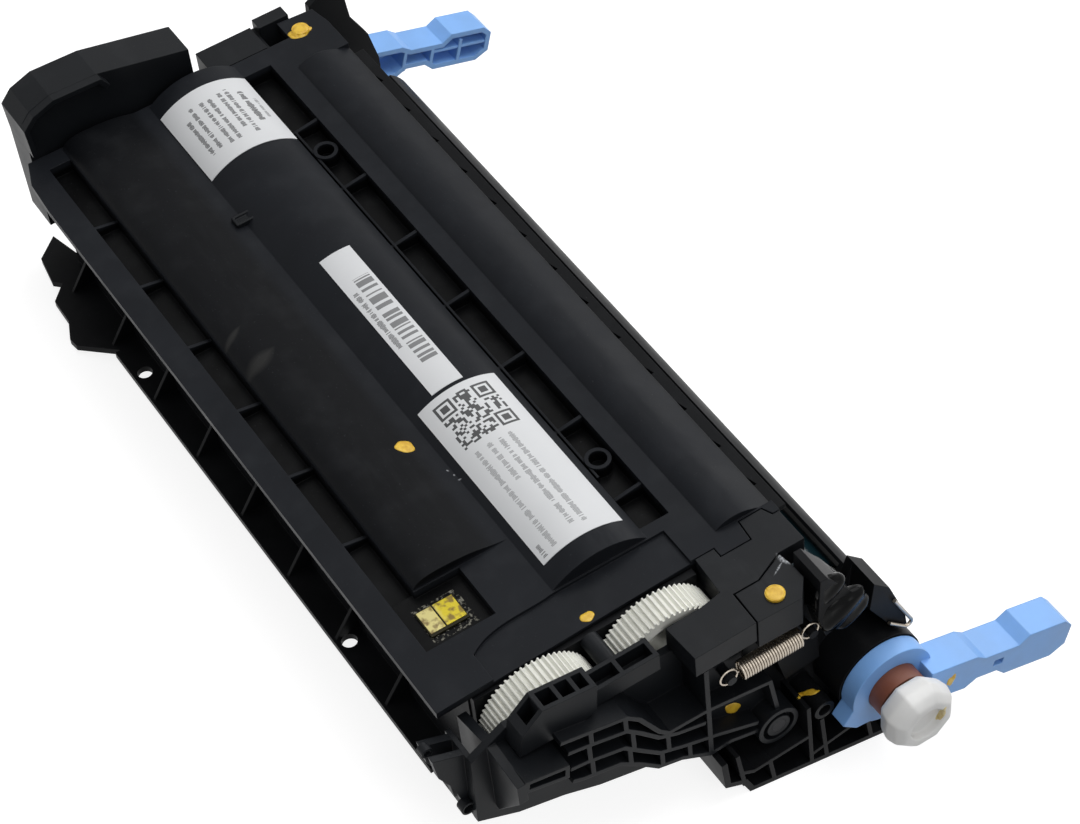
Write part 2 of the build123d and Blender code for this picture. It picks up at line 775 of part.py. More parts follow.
def film_face(centre, reach, short_from):
    """Paddle outline along the shaft, cut short under the chip pocket."""
    with BuildSketch(Plane.XY.offset(centre[1])) as face:
        with BuildLine():
            Polyline((roller_far - 6, centre[0] + roller_shaft_radius),
                     (roller_far - 6, centre[0] + reach), (short_from, centre[0] + reach),
                     (short_from, centre[0] + agitator_short_reach),
                     (roller_near + 7, centre[0] + agitator_short_reach),
                     (roller_near + 7, centre[0] + roller_shaft_radius), close=True)
        make_face()
    return face.sketch


def write_shaft(centre, label):
    """Round shaft from the far end plate to the gears."""
    with BuildPart() as shaft:
        extrude(disc(shaft_far, centre, roller_shaft_radius), amount=shaft_near - shaft_far)
    write(shaft, label)


middle_idler_phase = meshed_phase(AGITATORS[0], agitator_tooth_count, 0.0, MIDDLE_IDLER,
                                  middle_idler_tooth_count)
second_phase = meshed_phase(MIDDLE_IDLER, middle_idler_tooth_count, middle_idler_phase, AGITATORS[1],
                            agitator_tooth_count)
side_idler_phase = meshed_phase(AGITATORS[1], agitator_tooth_count, second_phase, SIDE_IDLER,
                                side_idler_tooth_count)
supply_phase = meshed_phase(SIDE_IDLER, side_idler_tooth_count, side_idler_phase, SUPPLY, supply_tooth_count)
developer_phase = meshed_phase(SUPPLY, supply_tooth_count, supply_phase, DEVELOPER, developer_tooth_count)
drum_phase = meshed_phase(DEVELOPER, developer_tooth_count, developer_phase, DRUM, drum_tooth_count)

for number, centre in enumerate(AGITATORS, 1):
    write_shaft(centre, f"agitator_shaft_{number}")

    with BuildPart() as agitator_film:
        reach = agitator_reaches[number - 1]
        extrude(film_face(centre, reach, feed_dome_near - 5 if number == 1 else roller_near),
                amount=film_thick / 2, both=True)
    write(agitator_film, f"agitator_film_{number}")

    with BuildPart() as agitator_gear:
        phase = 0.0 if number == 1 else second_phase
        extrude(gear_face(gear_far, centre, agitator_tooth_count, phase, roller_shaft_radius + running_fit),
                amount=gear_width)
        pitch_radius = gear_module * agitator_tooth_count / 2
        # Recesses either side of the web, between rim and hub
        for face_x, depth in ((gear_far, gear_recess_far), (gear_near, -gear_recess_near)):
            with BuildSketch(yz(face_x)) as recess:
                with Locations(centre):
                    Circle(pitch_radius - gear_rim)
                    Circle(hub_radius, mode=Mode.SUBTRACT)
            extrude(amount=depth, mode=Mode.SUBTRACT)
    write(agitator_gear, f"agitator_gear_{number}")


# Idlers on the pins of the near bearing plate
for name, centre, teeth, phase in (
        ("middle_idler_gear", MIDDLE_IDLER, middle_idler_tooth_count, middle_idler_phase),
        ("side_idler_gear", SIDE_IDLER, side_idler_tooth_count, side_idler_phase)):
    with BuildPart() as idler:
        extrude(gear_face(gear_far, centre, teeth, phase, idler_pin_radius + running_fit),
                amount=gear_width)
    write(idler, name)


# Supply roller: shaft, foam and gear
write_shaft(SUPPLY, "supply_roller_shaft")

with BuildPart() as supply_roller_foam:
    extrude(disc(roller_far, SUPPLY, supply_radius), amount=roller_near - roller_far)
    extrude(disc(roller_far, SUPPLY, roller_shaft_radius), amount=roller_near - roller_far,
            mode=Mode.SUBTRACT)
write(supply_roller_foam, "supply_roller_foam")

with BuildPart() as supply_gear:
    extrude(gear_face(gear_far, SUPPLY, supply_tooth_count, supply_phase, roller_shaft_radius + running_fit),
            amount=gear_width)
write(supply_gear, "supply_gear")

# Developing roller: shaft, sleeve and gear
write_shaft(DEVELOPER, "developer_shaft")

with BuildPart() as developer_sleeve:
    extrude(disc(roller_far, DEVELOPER, developer_radius), amount=roller_near - roller_far)
    extrude(disc(roller_far, DEVELOPER, roller_shaft_radius), amount=roller_near - roller_far,
            mode=Mode.SUBTRACT)
write(developer_sleeve, "developer_sleeve")

with BuildPart() as developer_gear:
    extrude(gear_face(gear_far, DEVELOPER, developer_tooth_count, developer_phase,
                      roller_shaft_radius + running_fit),
            amount=gear_width)
write(developer_gear, "developer_gear")


# Photoconductor drum: thin tube, a flange in each end, and the drive coupling
with BuildPart() as drum_tube:
    extrude(disc(drum_tube_far, DRUM, drum_radius), amount=drum_tube_near - drum_tube_far)
    extrude(disc(drum_tube_far, DRUM, drum_radius - drum_wall), amount=drum_tube_near - drum_tube_far,
            mode=Mode.SUBTRACT)
write(drum_tube, "drum_tube")

with BuildPart() as near_drum_flange:
    extrude(disc(drum_tube_near - flange_depth, DRUM, drum_radius - drum_wall - running_fit),
            amount=flange_depth)
    extrude(disc(drum_tube_near, DRUM, drum_neck_radius), amount=gear_far - drum_tube_near)
    extrude(gear_face(gear_far, DRUM, drum_tooth_count, drum_phase, 1.0), amount=gear_width)
    extrude(disc(gear_far, DRUM, journal_radius),
            amount=coupling_near - socket_depth - socket_wall - gear_far)
write(near_drum_flange, "near_drum_flange")

with BuildPart() as drive_coupling:
    with BuildSketch(yz(coupling_far + slip)):
        with Locations(DRUM):
            RegularPolygon(coupling_radius, 8, major_radius=False)
    extrude(amount=coupling_near - coupling_far - slip)
    fillet(drive_coupling.edges().filter_by(Axis.X), radius=coupling_rounding)
    extrude(disc(coupling_far, DRUM, journal_radius + running_fit),
            amount=coupling_near - socket_depth - socket_wall - coupling_far + slip, mode=Mode.SUBTRACT)
    extrude(disc(coupling_near, DRUM, journal_radius), amount=-socket_depth, mode=Mode.SUBTRACT)
write(drive_coupling, "drive_coupling")

with BuildPart() as far_drum_flange:
    extrude(disc(drum_tube_far, DRUM, drum_radius - drum_wall - running_fit), amount=flange_depth)
    extrude(disc(drum_tube_far, DRUM, drum_neck_radius), amount=drum_plate_far_web + 4 - drum_tube_far)
    extrude(disc(drum_plate_far_web + 4, DRUM, far_journal_radius),
            amount=-(web_thick + 6))
write(far_drum_flange, "far_drum_flange")


# Drum unit: waste toner bin that spans the drum, with the end walls that carry the charge roller
end_wall_points = ((bin_left, bin_top), (106.0, bin_top), (112.0, -60.0), bin_lip, bin_floor_right,
                   (bin_left, bin_left_bottom))
with BuildPart() as drum_frame:
    extrude(outline(yz(frame_far), (bin_left, bin_top), (bin_right, bin_top), (bin_right, -64.5),
                    (104.5, -66.0), bin_lip, bin_floor_right, (bin_left, bin_left_bottom)),
            amount=frame_near - frame_far)
    extrude(outline(yz(frame_far + frame_end_wall), (bin_left + frame_wall, bin_top - frame_wall),
                    (bin_right - frame_wall, bin_top - frame_wall), (bin_right - frame_wall, -66.2),
                    (101.5, -67.0), (101.5, -60.0), (107.6, -60.0), (107.6, -67.9),
                    (105.0, -75.6), (bin_left + frame_wall, -64.4)),
            amount=frame_near - frame_far - 2 * frame_end_wall, mode=Mode.SUBTRACT)
    for wall_far in (frame_far, frame_near - frame_end_wall):
        extrude(outline(yz(wall_far), *end_wall_points), amount=frame_end_wall)
    extrude(disc(frame_far - 1, DRUM, drum_radius + drum_clearance), amount=frame_near - frame_far + 2,
            mode=Mode.SUBTRACT)
    extrude(disc(frame_far - 1, CHARGE, charge_shaft_radius + running_fit),
            amount=frame_near - frame_far + 2, mode=Mode.SUBTRACT)
    extrude(disc(frame_far - 1, PIVOT, pivot_radius + pin_fit), amount=4, mode=Mode.SUBTRACT)
    # Stiffening ribs down the back of the bin
    for number in range(frame_rib_count):
        station = frame_far + 20 + number * (frame_near - frame_far - 43) / (frame_rib_count - 1)
        extrude(outline(yz(station), (bin_left - 2.4, bin_top - 3), (bin_left, bin_top - 1),
                        (bin_left, bin_left_bottom + 1), (bin_left - 1.2, bin_left_bottom + 3)),
                amount=rib_web)
write(drum_frame, "drum_frame")

# Charge roller on its shaft
with BuildPart() as charge_shaft:
    extrude(disc(frame_far + 0.5, CHARGE, charge_shaft_radius), amount=frame_near - frame_far - 1)
write(charge_shaft, "charge_shaft")

with BuildPart() as charge_rubber:
    extrude(disc(roller_far, CHARGE, charge_radius), amount=roller_near - roller_far)
    extrude(disc(roller_far, CHARGE, charge_shaft_radius), amount=roller_near - roller_far,
            mode=Mode.SUBTRACT)
write(charge_rubber, "charge_rubber")

# Cleaning blade against the drum, its steel bracket, and the film that seals the bin's mouth
blade_tip = polar(DRUM, drum_radius + 0.1, blade_angle)


def along_blade(back, off):
    """Point a distance back from the blade's tip and off its centre line."""
    lean = radians(blade_slope)
    return (blade_tip[0] - back * cos(lean) - off * sin(lean) + 0.45 * sin(lean),
            blade_tip[1] - back * sin(lean) + off * cos(lean) - 0.6 * cos(lean))


with BuildPart() as cleaning_blade:
    extrude(outline(yz(roller_far - 4), along_blade(0, blade_thick / 2),
                    along_blade(blade_free_length, blade_thick / 2),
                    along_blade(blade_free_length, -blade_thick / 2),
                    along_blade(0.6, -blade_thick / 2)),
            amount=roller_near - roller_far + 8)
write(cleaning_blade, "cleaning_blade")

with BuildPart() as blade_bracket:
    extrude(outline(yz(frame_far + 4), along_blade(bracket_start, -blade_thick / 2),
                    along_blade(bracket_end, -blade_thick / 2),
                    along_blade(bracket_end, -blade_thick / 2 - bracket_thick),
                    along_blade(bracket_start, -blade_thick / 2 - bracket_thick)),
            amount=frame_near - frame_far - 8)
write(blade_bracket, "blade_bracket")

with BuildPart() as bin_seal:
    extrude(strip(yz(roller_far - 4), seal_thick, (99.3, -64.35), (101.5, -64.95), (108.2, -63.4),
                  polar(DRUM, drum_radius + 0.5, -140)),
            amount=roller_near - roller_far + 8)
write(bin_seal, "bin_seal")


# End plates of the drum unit, with ribs, feet on the table and the arm for the spring
left_face = ((61.5, -53.8), (62.4, -66.0), (68.4, -69.3), (foot_left, table_z(foot_left)))
lower_right = ((131.0, -74.0), (134.6, -60.0), (134.6, -48.0))
near_web_points = (*left_face, (foot_right, table_z(foot_right)), *lower_right, (131.0, -35.4),
                   (125.2, -18.8), (119.6, -12.9), (116.8, -19.7), (109.7, -6.7), (103.0, 3.0),
                   (100.5, 3.0), (100.5, -13.0), (92.0, -16.5), (86.0, -23.8), (79.5, -24.5),
                   (79.5, -46.0), (66.0, -53.8))
far_web_points = (*left_face, (foot_right, table_z(foot_right)), *lower_right, (131.8, -35.0),
                  (126.0, -24.0), (125.0, -14.0), (117.0, -7.5), (111.0, -11.0), (109.8, -30.0),
                  (109.8, -44.0), (94.0, -49.0), (66.0, -53.8))


def rim_line(right_end):
    """Middle line of the rim that runs under the plate, its outside on the table."""
    half = rim_thick / 2
    return ((left_face[0][0] + half, left_face[0][1]), (left_face[1][0] + half, left_face[1][1] + 0.5),
            (left_face[2][0] + half, left_face[2][1] + 0.6),
            (foot_left + 0.8, table_z(foot_left + 0.8) + half * 1.03),
            (right_end, table_z(right_end) + half * 1.03))


with BuildPart() as near_drum_plate:
    rib_depth = drum_plate_near_face - drum_plate_near_web - web_thick
    extrude(outline(yz(drum_plate_near_web), *near_web_points), amount=web_thick)
    extrude(strip(yz(frame_near + slip), rim_thick, *rim_line(foot_right)),
            amount=drum_plate_near_face - frame_near - slip)
    extrude(strip(yz(drum_plate_near_web), rim_thick, (foot_right - 1, table_z(foot_right - 1) + 1.03),
                  (130.4, -73.6)),
            amount=drum_plate_near_face - drum_plate_near_web)
    # Honeycomb of ribs on the outer side
    for line in (((67.2, -53.6), (69.4, -70.5)), ((93.2, -50.5), (94.0, -80.0)),
                 ((98.0, -60.0), (99.6, -81.0)),
                 ((78.6, -65.0), (80.2, -77.0)), ((114.2, -68.5), (116.4, -84.5)),
                 ((67.8, -63.0), (73.0, -66.0), (93.5, -65.2)), ((93.5, -75.5), (113.8, -72.0))):
        extrude(strip(yz(drum_plate_near_web + web_thick), rib_web, *line), amount=rib_depth)
    with BuildSketch(yz(drum_plate_near_web + web_thick)):
        with Locations((99.0, -56.0)):
            Circle(3.6)
            Circle(2.2, mode=Mode.SUBTRACT)
    extrude(amount=rib_depth)
    # Round boss about the drum's journal, recessed for the bush
    extrude(disc(drum_plate_near_web + web_thick, DRUM, boss_radius), amount=rib_depth)
    extrude(disc(drum_plate_near_web - 1, DRUM, journal_radius + slip), amount=30, mode=Mode.SUBTRACT)
    extrude(disc(bush_far - slip, DRUM, bush_radius + 2 * running_fit), amount=30, mode=Mode.SUBTRACT)
    # Arm for the spring, and the tall guide above the drum's end
    extrude(outline(yz(drum_plate_near_web + web_thick), (87.5, -23.8), (92.0, -16.5), (100.5, -13.0),
                    (103.0, -22.0), (104.0, -43.0), (91.5, -44.5), (88.5, -32.0)),
            amount=spring_x - spring_radius - 0.8 - drum_plate_near_web - web_thick)
    extrude(outline(yz(drum_plate_near_web + web_thick), (100.5, 3.0), (103.0, 3.0), (109.7, -6.7),
                    (113.0, -13.0), (110.0, -22.0), (102.0, -24.0), (99.5, -13.4)),
            amount=guide_height)
    extrude(outline(yz(drum_plate_near_web + web_thick), (119.6, -12.9), (125.2, -18.8), (131.0, -35.4),
                    (131.8, -42.0), (127.0, -40.0), (118.0, -24.0)),
            amount=guide_height)
    extrude(disc(drum_plate_near_web + web_thick, spring_right_post, spring_post_radius),
            amount=spring_post_end - drum_plate_near_web - web_thick)
    # Hole for the pivot pin
    extrude(disc(drum_plate_near_web - 1, PIVOT, pivot_radius + pin_fit), amount=web_thick + 2,
            mode=Mode.SUBTRACT)
write(near_drum_plate, "near_drum_plate")

with BuildPart() as far_drum_plate:
    extrude(outline(yz(drum_plate_far_web - web_thick), *far_web_points), amount=web_thick)
    extrude(strip(yz(drum_plate_far_face), rim_thick, *rim_line(foot_right)),
            amount=frame_far - slip - drum_plate_far_face)
    for line in (((93.2, -51.0), (94.0, -80.0)), ((78.6, -54.0), (80.2, -77.0)),
                 ((114.2, -68.5), (116.4, -84.5)), ((64.0, -62.0), (104.5, -62.0))):
        extrude(strip(yz(drum_plate_far_face), rib_web, *line),
                amount=drum_plate_far_web - web_thick - drum_plate_far_face)
    with BuildSketch(yz(drum_plate_far_face)):
        with Locations(DRUM):
            Circle(boss_radius)
    extrude(amount=drum_plate_far_web - web_thick - drum_plate_far_face)
    extrude(disc(drum_plate_far_face, DRUM, bush_radius), amount=-lever_ring_width - 2 * slip)
    extrude(disc(drum_plate_far_web + 1, DRUM, far_journal_radius + running_fit),
            amount=-web_thick - 4, mode=Mode.SUBTRACT)
write(far_drum_plate, "far_drum_plate")

# Bush between the drum's journal and the near end plate
with BuildPart() as brown_bush:
    extrude(disc(bush_far, DRUM, bush_radius), amount=coupling_far - bush_far)
    extrude(disc(bush_far, DRUM, journal_radius + running_fit), amount=coupling_far - bush_far,
            mode=Mode.SUBTRACT)
write(brown_bush, "brown_bush")

# Pins of the hinge between the two units
with BuildPart() as near_pivot_pin:
    extrude(disc(drum_plate_near_web - 0.6, PIVOT, pivot_radius),
            amount=ear_far + ear_boss_length - drum_plate_near_web + 0.6)
write(near_pivot_pin, "near_pivot_pin")

with BuildPart() as far_pivot_pin:
    extrude(disc(far_plate_far - 0.4, PIVOT, pivot_radius), amount=frame_far + 3.4 - far_plate_far)
write(far_pivot_pin, "far_pivot_pin")


# Blue levers, free to swing about the drum's axis
lever_outline = [lever_point(u, v) for u, v in (
    (9.0, -6.0), (26.0, -6.5), (30.0, -3.6), (38.0, -3.6), (42.0, -6.5), (61.0, -6.5),
    (lever_length, -3.0),
    (lever_length, lever_tip_rise), (62.5, 7.8), (48.0, 7.8), (44.5, 4.6), (31.0, 4.6), (27.0, 6.6),
    (9.0, 6.6))]
lever_tail = [lever_point(u, v) for u, v in ((-13.0, -5.0), (-15.5, -11.5), (-9.5, -14.5), (-3.0, -13.5))]


def lever_faces(x):
    """Outline of the ring and its tail, without the arm."""
    with BuildSketch(yz(x)) as face:
        with Locations(DRUM):
            Circle(lever_ring_radius)
        with BuildLine():
            Polyline(*lever_tail, close=True)
        make_face()
        with Locations(DRUM):
            Circle(bush_radius + running_fit, mode=Mode.SUBTRACT)
    return face.sketch


def hollow_face(x):
    """Hollow behind the lever's outer skin, left open on the cartridge's side."""
    with BuildSketch(yz(x)) as face:
        with BuildLine():
            Polyline(*lever_outline, close=True)
        make_face()
        offset(amount=-lever_shell, kind=Kind.INTERSECTION)
        with Locations(DRUM):
            Circle(lever_ring_radius + lever_shell, mode=Mode.SUBTRACT)
    return face.sketch


near_lever_root = drum_plate_near_face + slip
for name, root_x, out in (("near_lever", near_lever_root, 1), ("far_lever", drum_plate_far_face - slip, -1)):
    with BuildPart() as lever:
        extrude(outline(yz(root_x), *lever_outline), amount=out * lever_width)
        extrude(lever_faces(root_x), amount=out * lever_ring_width)
        extrude(disc(root_x, DRUM, bush_radius + running_fit), amount=out * lever_width, mode=Mode.SUBTRACT)
        extrude(hollow_face(root_x), amount=out * (lever_width - lever_shell), mode=Mode.SUBTRACT)
        for reach in (28.0, 40.0, 52.0):
            extrude(outline(yz(root_x), lever_point(reach, -4.5), lever_point(reach + rib_web, -4.5),
                            lever_point(reach + rib_web, 4.6), lever_point(reach, 4.6)),
                    amount=out * (lever_width - lever_shell / 2))
        # Slot through the arm
        extrude(outline(yz(root_x), lever_point(35.5, -0.8), lever_point(39.3, -0.8),
                        lever_point(39.3, 1.6), lever_point(35.5, 1.6)),
                amount=out * lever_width, mode=Mode.SUBTRACT)
    write(lever, name)

# Shutter over the bare side of the drum, on an arm at each end
with BuildPart() as drum_shutter:
    with BuildSketch(yz(shutter_far)):
        with BuildLine():
            outer = CenterArc(DRUM, shutter_inner + shutter_thick, shutter_end, shutter_sweep)
            inner = CenterArc(DRUM, shutter_inner, shutter_end, shutter_sweep)
            Line(outer @ 0, inner @ 0)
            Line(outer @ 1, inner @ 1)
        make_face()
    extrude(amount=shutter_arm_near + shutter_arm_thick - shutter_far)
    for arm_x in (shutter_far, shutter_arm_near):
        with BuildSketch(yz(arm_x)):
            with BuildLine():
                arc = CenterArc(DRUM, shutter_inner + shutter_thick / 2, shutter_end, shutter_sweep)
                Line(DRUM, arc @ 0)
                Line(DRUM, arc @ 1)
            make_face()
            with Locations(DRUM):
                Circle(drum_neck_radius + 3)
                Circle(drum_neck_radius + 0.2, mode=Mode.SUBTRACT)
        extrude(amount=shutter_arm_thick)
write(drum_shutter, "drum_shutter")


# Gear cover at the near end: a web before the gears, shelves of ribs, and the ear of the hinge
cover_bottom = ((-12.0, -37.0), (1.6, -44.0), (16.8, -48.7), (28.7, -53.9), (49.7, -60.2), (59.6, -52.0))
cover_shelves = (
    ((11.6, -3.6), (21.7, -6.2), (33.4, -9.3), (37.7, -13.7), (43.8, -24.9), (46.8, -28.2), (60.8, -28.6)),
    ((13.6, -10.2), (19.7, -11.7), (33.4, -15.8), (37.2, -19.9), (43.6, -27.8), (49.9, -31.0), (59.5, -34.0)),
    ((13.9, -18.3), (19.6, -19.3), (31.8, -23.0), (36.7, -28.4), (43.2, -35.3), (50.5, -38.5), (60.8, -42.4)),
    ((14.0, -24.4), (17.4, -26.0), (29.8, -29.4), (36.2, -35.0), (42.8, -42.1), (50.8, -44.6), (60.8, -50.9)),
)
cover_posts = (((21.5, -6.5), (21.5, -12.0)), ((33.0, -9.5), (33.0, -15.5)), ((20.5, -11.8), (20.5, -19.3)),
               ((35.0, -17.5), (35.0, -26.5)), ((21.0, -19.8), (21.0, -26.7)), ((33.5, -25.0), (33.5, -32.4)),
               ((46.5, -29.5), (46.5, -36.6)), ((44.0, -35.8), (44.0, -42.5)), ((53.5, -39.6), (53.5, -46.5)))
ear_ribs = (((60.8, -28.6), (82.6, -32.6), (84.9, -48.4)), ((60.8, -42.4), (63.4, -43.3), (77.8, -49.4)),
            ((60.8, -50.9), (68.0, -50.5), (77.6, -53.4)))
hump_outline = ((0.6, -5.4), (2.2, 3.2), (9.4, 9.7), (27.4, 7.1), (26.5, -4.1), (21.0, -6.0))
hump_cells = ((4.6, 9.2), (10.8, 15.6), (17.0, 21.2), (22.6, 25.8))
wall_cells = ((28.6, 37.4), (38.8, 48.6))

with BuildPart() as gear_cover:
    extrude(outline(yz(cover_far), (cover_left, -8.0), (1.0, -0.8), (50.0, 0.0), (52.5, -9.2), (step_y, -9.2),
                    *reversed(cover_bottom)),
            amount=cover_web)
    web_near = cover_far + cover_web
    # Rim back to the bearing plate, along the left side and underneath
    extrude(strip(yz(near_plate_far + bearing_plate_thick + slip), cover_rim_thick, (cover_left + 0.8, -8.5),
                  *((y + 0.8 if number == 0 else y, z + 0.9)
                    for number, (y, z) in enumerate(cover_bottom))),
            amount=cover_far - near_plate_far - bearing_plate_thick - slip)
    for centre in cover_boss_places:
        extrude(disc(near_plate_far + bearing_plate_thick + slip, centre, cover_boss_radius),
                amount=cover_far - near_plate_far - bearing_plate_thick - slip)
    # Top wall with open cells, and the taller guard before the first gear
    extrude(outline(yz(cover_far), (25.0, 0.0), (50.0, 0.0), (50.0, -wall_drop), (25.0, -wall_drop)),
            amount=wall_near - cover_far)
    for left, right in wall_cells:
        extrude(outline(Plane.XY, (cover_far + hump_wall, left), (wall_near - hump_wall, left),
                        (wall_near - hump_wall, right), (cover_far + hump_wall, right)),
                amount=-wall_drop + hump_wall, mode=Mode.SUBTRACT)
    extrude(outline(yz(web_near), *hump_outline), amount=hump_near - web_near)
    for left, right in hump_cells:
        extrude(outline(Plane.XY.offset(12), (web_near + hump_wall, left), (hump_near - hump_wall, left),
                        (hump_near - hump_wall, right), (web_near + hump_wall, right)),
                amount=-13.0, mode=Mode.SUBTRACT)
    # Shelves and the short posts between them
    for line in (*cover_shelves, *cover_posts):
        extrude(strip(yz(web_near), shelf_thick, *line), amount=cover_front - web_near)
    # Flat slot at the left, and the tall fin beside it
    extrude(outline(yz(web_near), (-2.8, -5.5), (11.6, -9.0), (11.1, -14.8), (-3.3, -10.5)),
            amount=slot_near - web_near)
    extrude(outline(yz(web_near), (-1.4, -7.3), (10.2, -10.1), (9.8, -13.0), (-1.8, -9.5)),
            amount=slot_near - web_near, mode=Mode.SUBTRACT)
    extrude(outline(Plane.XZ.offset(-fin_y - fin_thick), (fin_far, -9.0), (cover_far, -4.6),
                    (slot_near, -6.0), (slot_near, -14.0), (cover_far + 4.5, -34.0), (fin_far, -34.0)),
            amount=fin_thick)
    # Step out to the ear, its plate, ribs and the ring about the pivot
    extrude(strip(yz(cover_far), cover_rim_thick, (step_y, -9.2), (step_y, -51.6)),
            amount=ear_front - cover_far)
    extrude(outline(yz(ear_far), (step_y, -12.0), (75.5, -12.0), (77.5, -31.0), (83.2, -32.2), (85.6, -47.0),
                    (91.0, -53.0), (91.0, -57.5), (84.3, -62.0), (77.6, -58.0), (76.6, -51.2),
                    (step_y, -51.2)),
            amount=ear_thick)
    for line in ear_ribs:
        extrude(strip(yz(ear_far), shelf_thick, *line), amount=ear_front - ear_far)
    extrude(disc(ear_far, PIVOT, ear_ring_radius), amount=ear_boss_length)
    extrude(disc(ear_far + 6, PIVOT, ear_ring_radius - ear_ring_wall), amount=4, mode=Mode.SUBTRACT)
    extrude(disc(ear_far, PIVOT, pivot_radius + ear_ring_wall), amount=ear_boss_length)
    extrude(disc(ear_far - 1, PIVOT, pivot_radius + running_fit), amount=12, mode=Mode.SUBTRACT)
    extrude(disc(ear_far, spring_left_post, spring_post_radius), amount=spring_post_end - ear_far)
    # Latch hooks that stand out at the left
    for hook_far in hook_places:
        extrude(outline(yz(hook_far), (cover_left + 1, -9.0), hook_tip, (-19.8, -13.0), (-16.6, -19.5),
                        (-14.2, -28.0), (-13.4, -36.0), (-11.6, -36.6)),
                amount=hook_width)
write(gear_cover, "gear_cover")

# Block that closes the near right corner of the plate
corner_outline = [(plate_near + u, y) for u, y in (
    (-2.0, 77.4), (-2.0, 83.9), (1.6, 83.9), (1.6, 95.0), (-6.0, 95.8), (-6.0, 103.6), (-2.4, 105.2),
    (-2.4, 107.5), (10.2, 107.5), (10.2, 98.0), (14.7, 88.0), (14.7, 79.0), (27.0, 78.6), (27.2, 57.3),
    (13.4, 56.5), (13.2, 69.0), (12.0, 76.4))]
with BuildPart() as near_corner_block:
    extrude(outline(Plane.XY, *corner_outline), amount=-corner_skirt_drop)
    with BuildSketch(Plane.XY.offset(-corner_block_thick)):
        with BuildLine():
            Polyline(*corner_outline, close=True)
        make_face()
        offset(amount=-corner_skirt_wall, kind=Kind.INTERSECTION)
    extrude(amount=-corner_skirt_drop, mode=Mode.SUBTRACT)
    # No skirt over the tub
    extrude(outline(Plane.XY.offset(-corner_block_thick), (plate_near - 11, 70), (tub_near + slip, 70),
                    (tub_near + slip, 110), (plate_near - 11, 110)),
            amount=-corner_skirt_drop, mode=Mode.SUBTRACT)
write(near_corner_block, "near_corner_block")

with BuildPart() as screw_block:
    extrude(outline(Plane.XY, *((plate_near + u, y) for u, y in (
                (15.2, 79.6), (15.2, 88.1), (10.9, 98.2), (16.0, 99.0), (21.6, 99.1), (27.6, 94.3),
                (27.2, 79.1)))),
            amount=-screw_block_depth)
    with Locations((*screw_places[0], 0)):
        Hole(screw_shank_radius + running_fit, depth=screw_length + 0.4)
write(screw_block, "screw_block")

# Screws, their heads on the plastic
with BuildPart() as plate_screws:
    for place, length in zip(screw_places, (screw_length, plate_thick - 0.1)):
        with BuildSketch(Plane.XY):
            with Locations(place):
                Circle(screw_head_radius)
        extrude(amount=screw_head_height)
        with BuildSketch(Plane.XY):
            with Locations(place):
                Circle(screw_shank_radius)
        extrude(amount=-length)
write(plate_screws, "plate_screws")

# Tall cover at the far end: a wall with a rim towards the end and a lip on its left
far_outline = ((-5.5, -34.0), (-5.5, 1.3), (-6.1, 13.1), (-1.9, 17.6), (6.2, 20.6), (23.8, 20.0),
               (57.5, 12.0), (57.5, -34.0))
with BuildPart() as far_end_cover:
    extrude(outline(yz(far_cover_far), *far_outline), amount=far_cover_wall)
    with BuildSketch(yz(far_cover_far)):
        with BuildLine():
            Polyline(*far_outline, close=True)
        make_face()
        offset(amount=-far_cover_rim_thick, kind=Kind.INTERSECTION, mode=Mode.SUBTRACT)
    extrude(amount=-far_cover_rim)
    extrude(strip(yz(far_cover_far + far_cover_wall), far_cover_rim_thick, (-4.6, 1.0), (-5.2, 12.7),
                  (-1.3, 16.7), (6.4, 19.6), (23.6, 19.0), (26.0, 15.4)),
            amount=3.2)
    for centre in ((8.0, -12.0), (50.0, -12.0)):
        extrude(disc(far_cover_far + far_cover_wall, centre, 3.5),
                amount=far_plate_far - slip - far_cover_far - far_cover_wall)
write(far_end_cover, "far_end_cover")

# Blocks at the far end beside the cover
with BuildPart() as far_corner_block:
    block_top = -plate_drop + slip
    block_far = plate_far - 13.0
    lug_far = block_far - 2.0
    lug_near = plate_far - 9.6
    extrude(outline(Plane.XY, (block_far, 63.0), (plate_far - seam, 63.0), (plate_far - seam, 84.5),
                    (block_far, 84.5)),
            amount=block_top)
    extrude(outline(Plane.XY.offset(block_top), (block_far, 63.0), (far_plate_far - slip, 63.0),
                    (far_plate_far - slip, 86.5), (lug_far, 86.5), (lug_far, 84.0), (block_far, 84.0)),
            amount=-13.0)
    extrude(outline(Plane.XY.offset(1.0), (lug_far, 86.5), (lug_near, 86.5), (lug_near, 98.0),
                    (lug_far, 98.0)),
            amount=-17.0)
    extrude(outline(Plane.XY.offset(block_top - 1.6), (block_far + 1.6, 64.6), (far_plate_far - 2.2, 64.6),
                    (far_plate_far - 2.2, 84.6), (block_far + 1.6, 84.6)),
            amount=-12.0, mode=Mode.SUBTRACT)
write(far_corner_block, "far_corner_block")

# Memory chip in its pocket
chip_far = chip_pocket_near - chip_edge_gap - chip_length
with BuildPart() as memory_chip:
    extrude(outline(Plane.XY.offset(-chip_pocket_depth), (chip_far, chip_pocket_left + chip_edge_gap),
                    (chip_far + chip_length, chip_pocket_left + chip_edge_gap),
                    (chip_far + chip_length, chip_pocket_left + chip_edge_gap + chip_width),
                    (chip_far, chip_pocket_left + chip_edge_gap + chip_width)),
            amount=chip_thick)
write(memory_chip, "memory_chip")

# Labels that follow the crown of the middle bulge
crown_chord = (label_dome_right - label_dome_left) / 2
crown_radius = (crown_chord ** 2 + label_dome_height ** 2) / (2 * label_dome_height)
CROWN = ((label_dome_left + label_dome_right) / 2, label_dome_height - crown_radius)


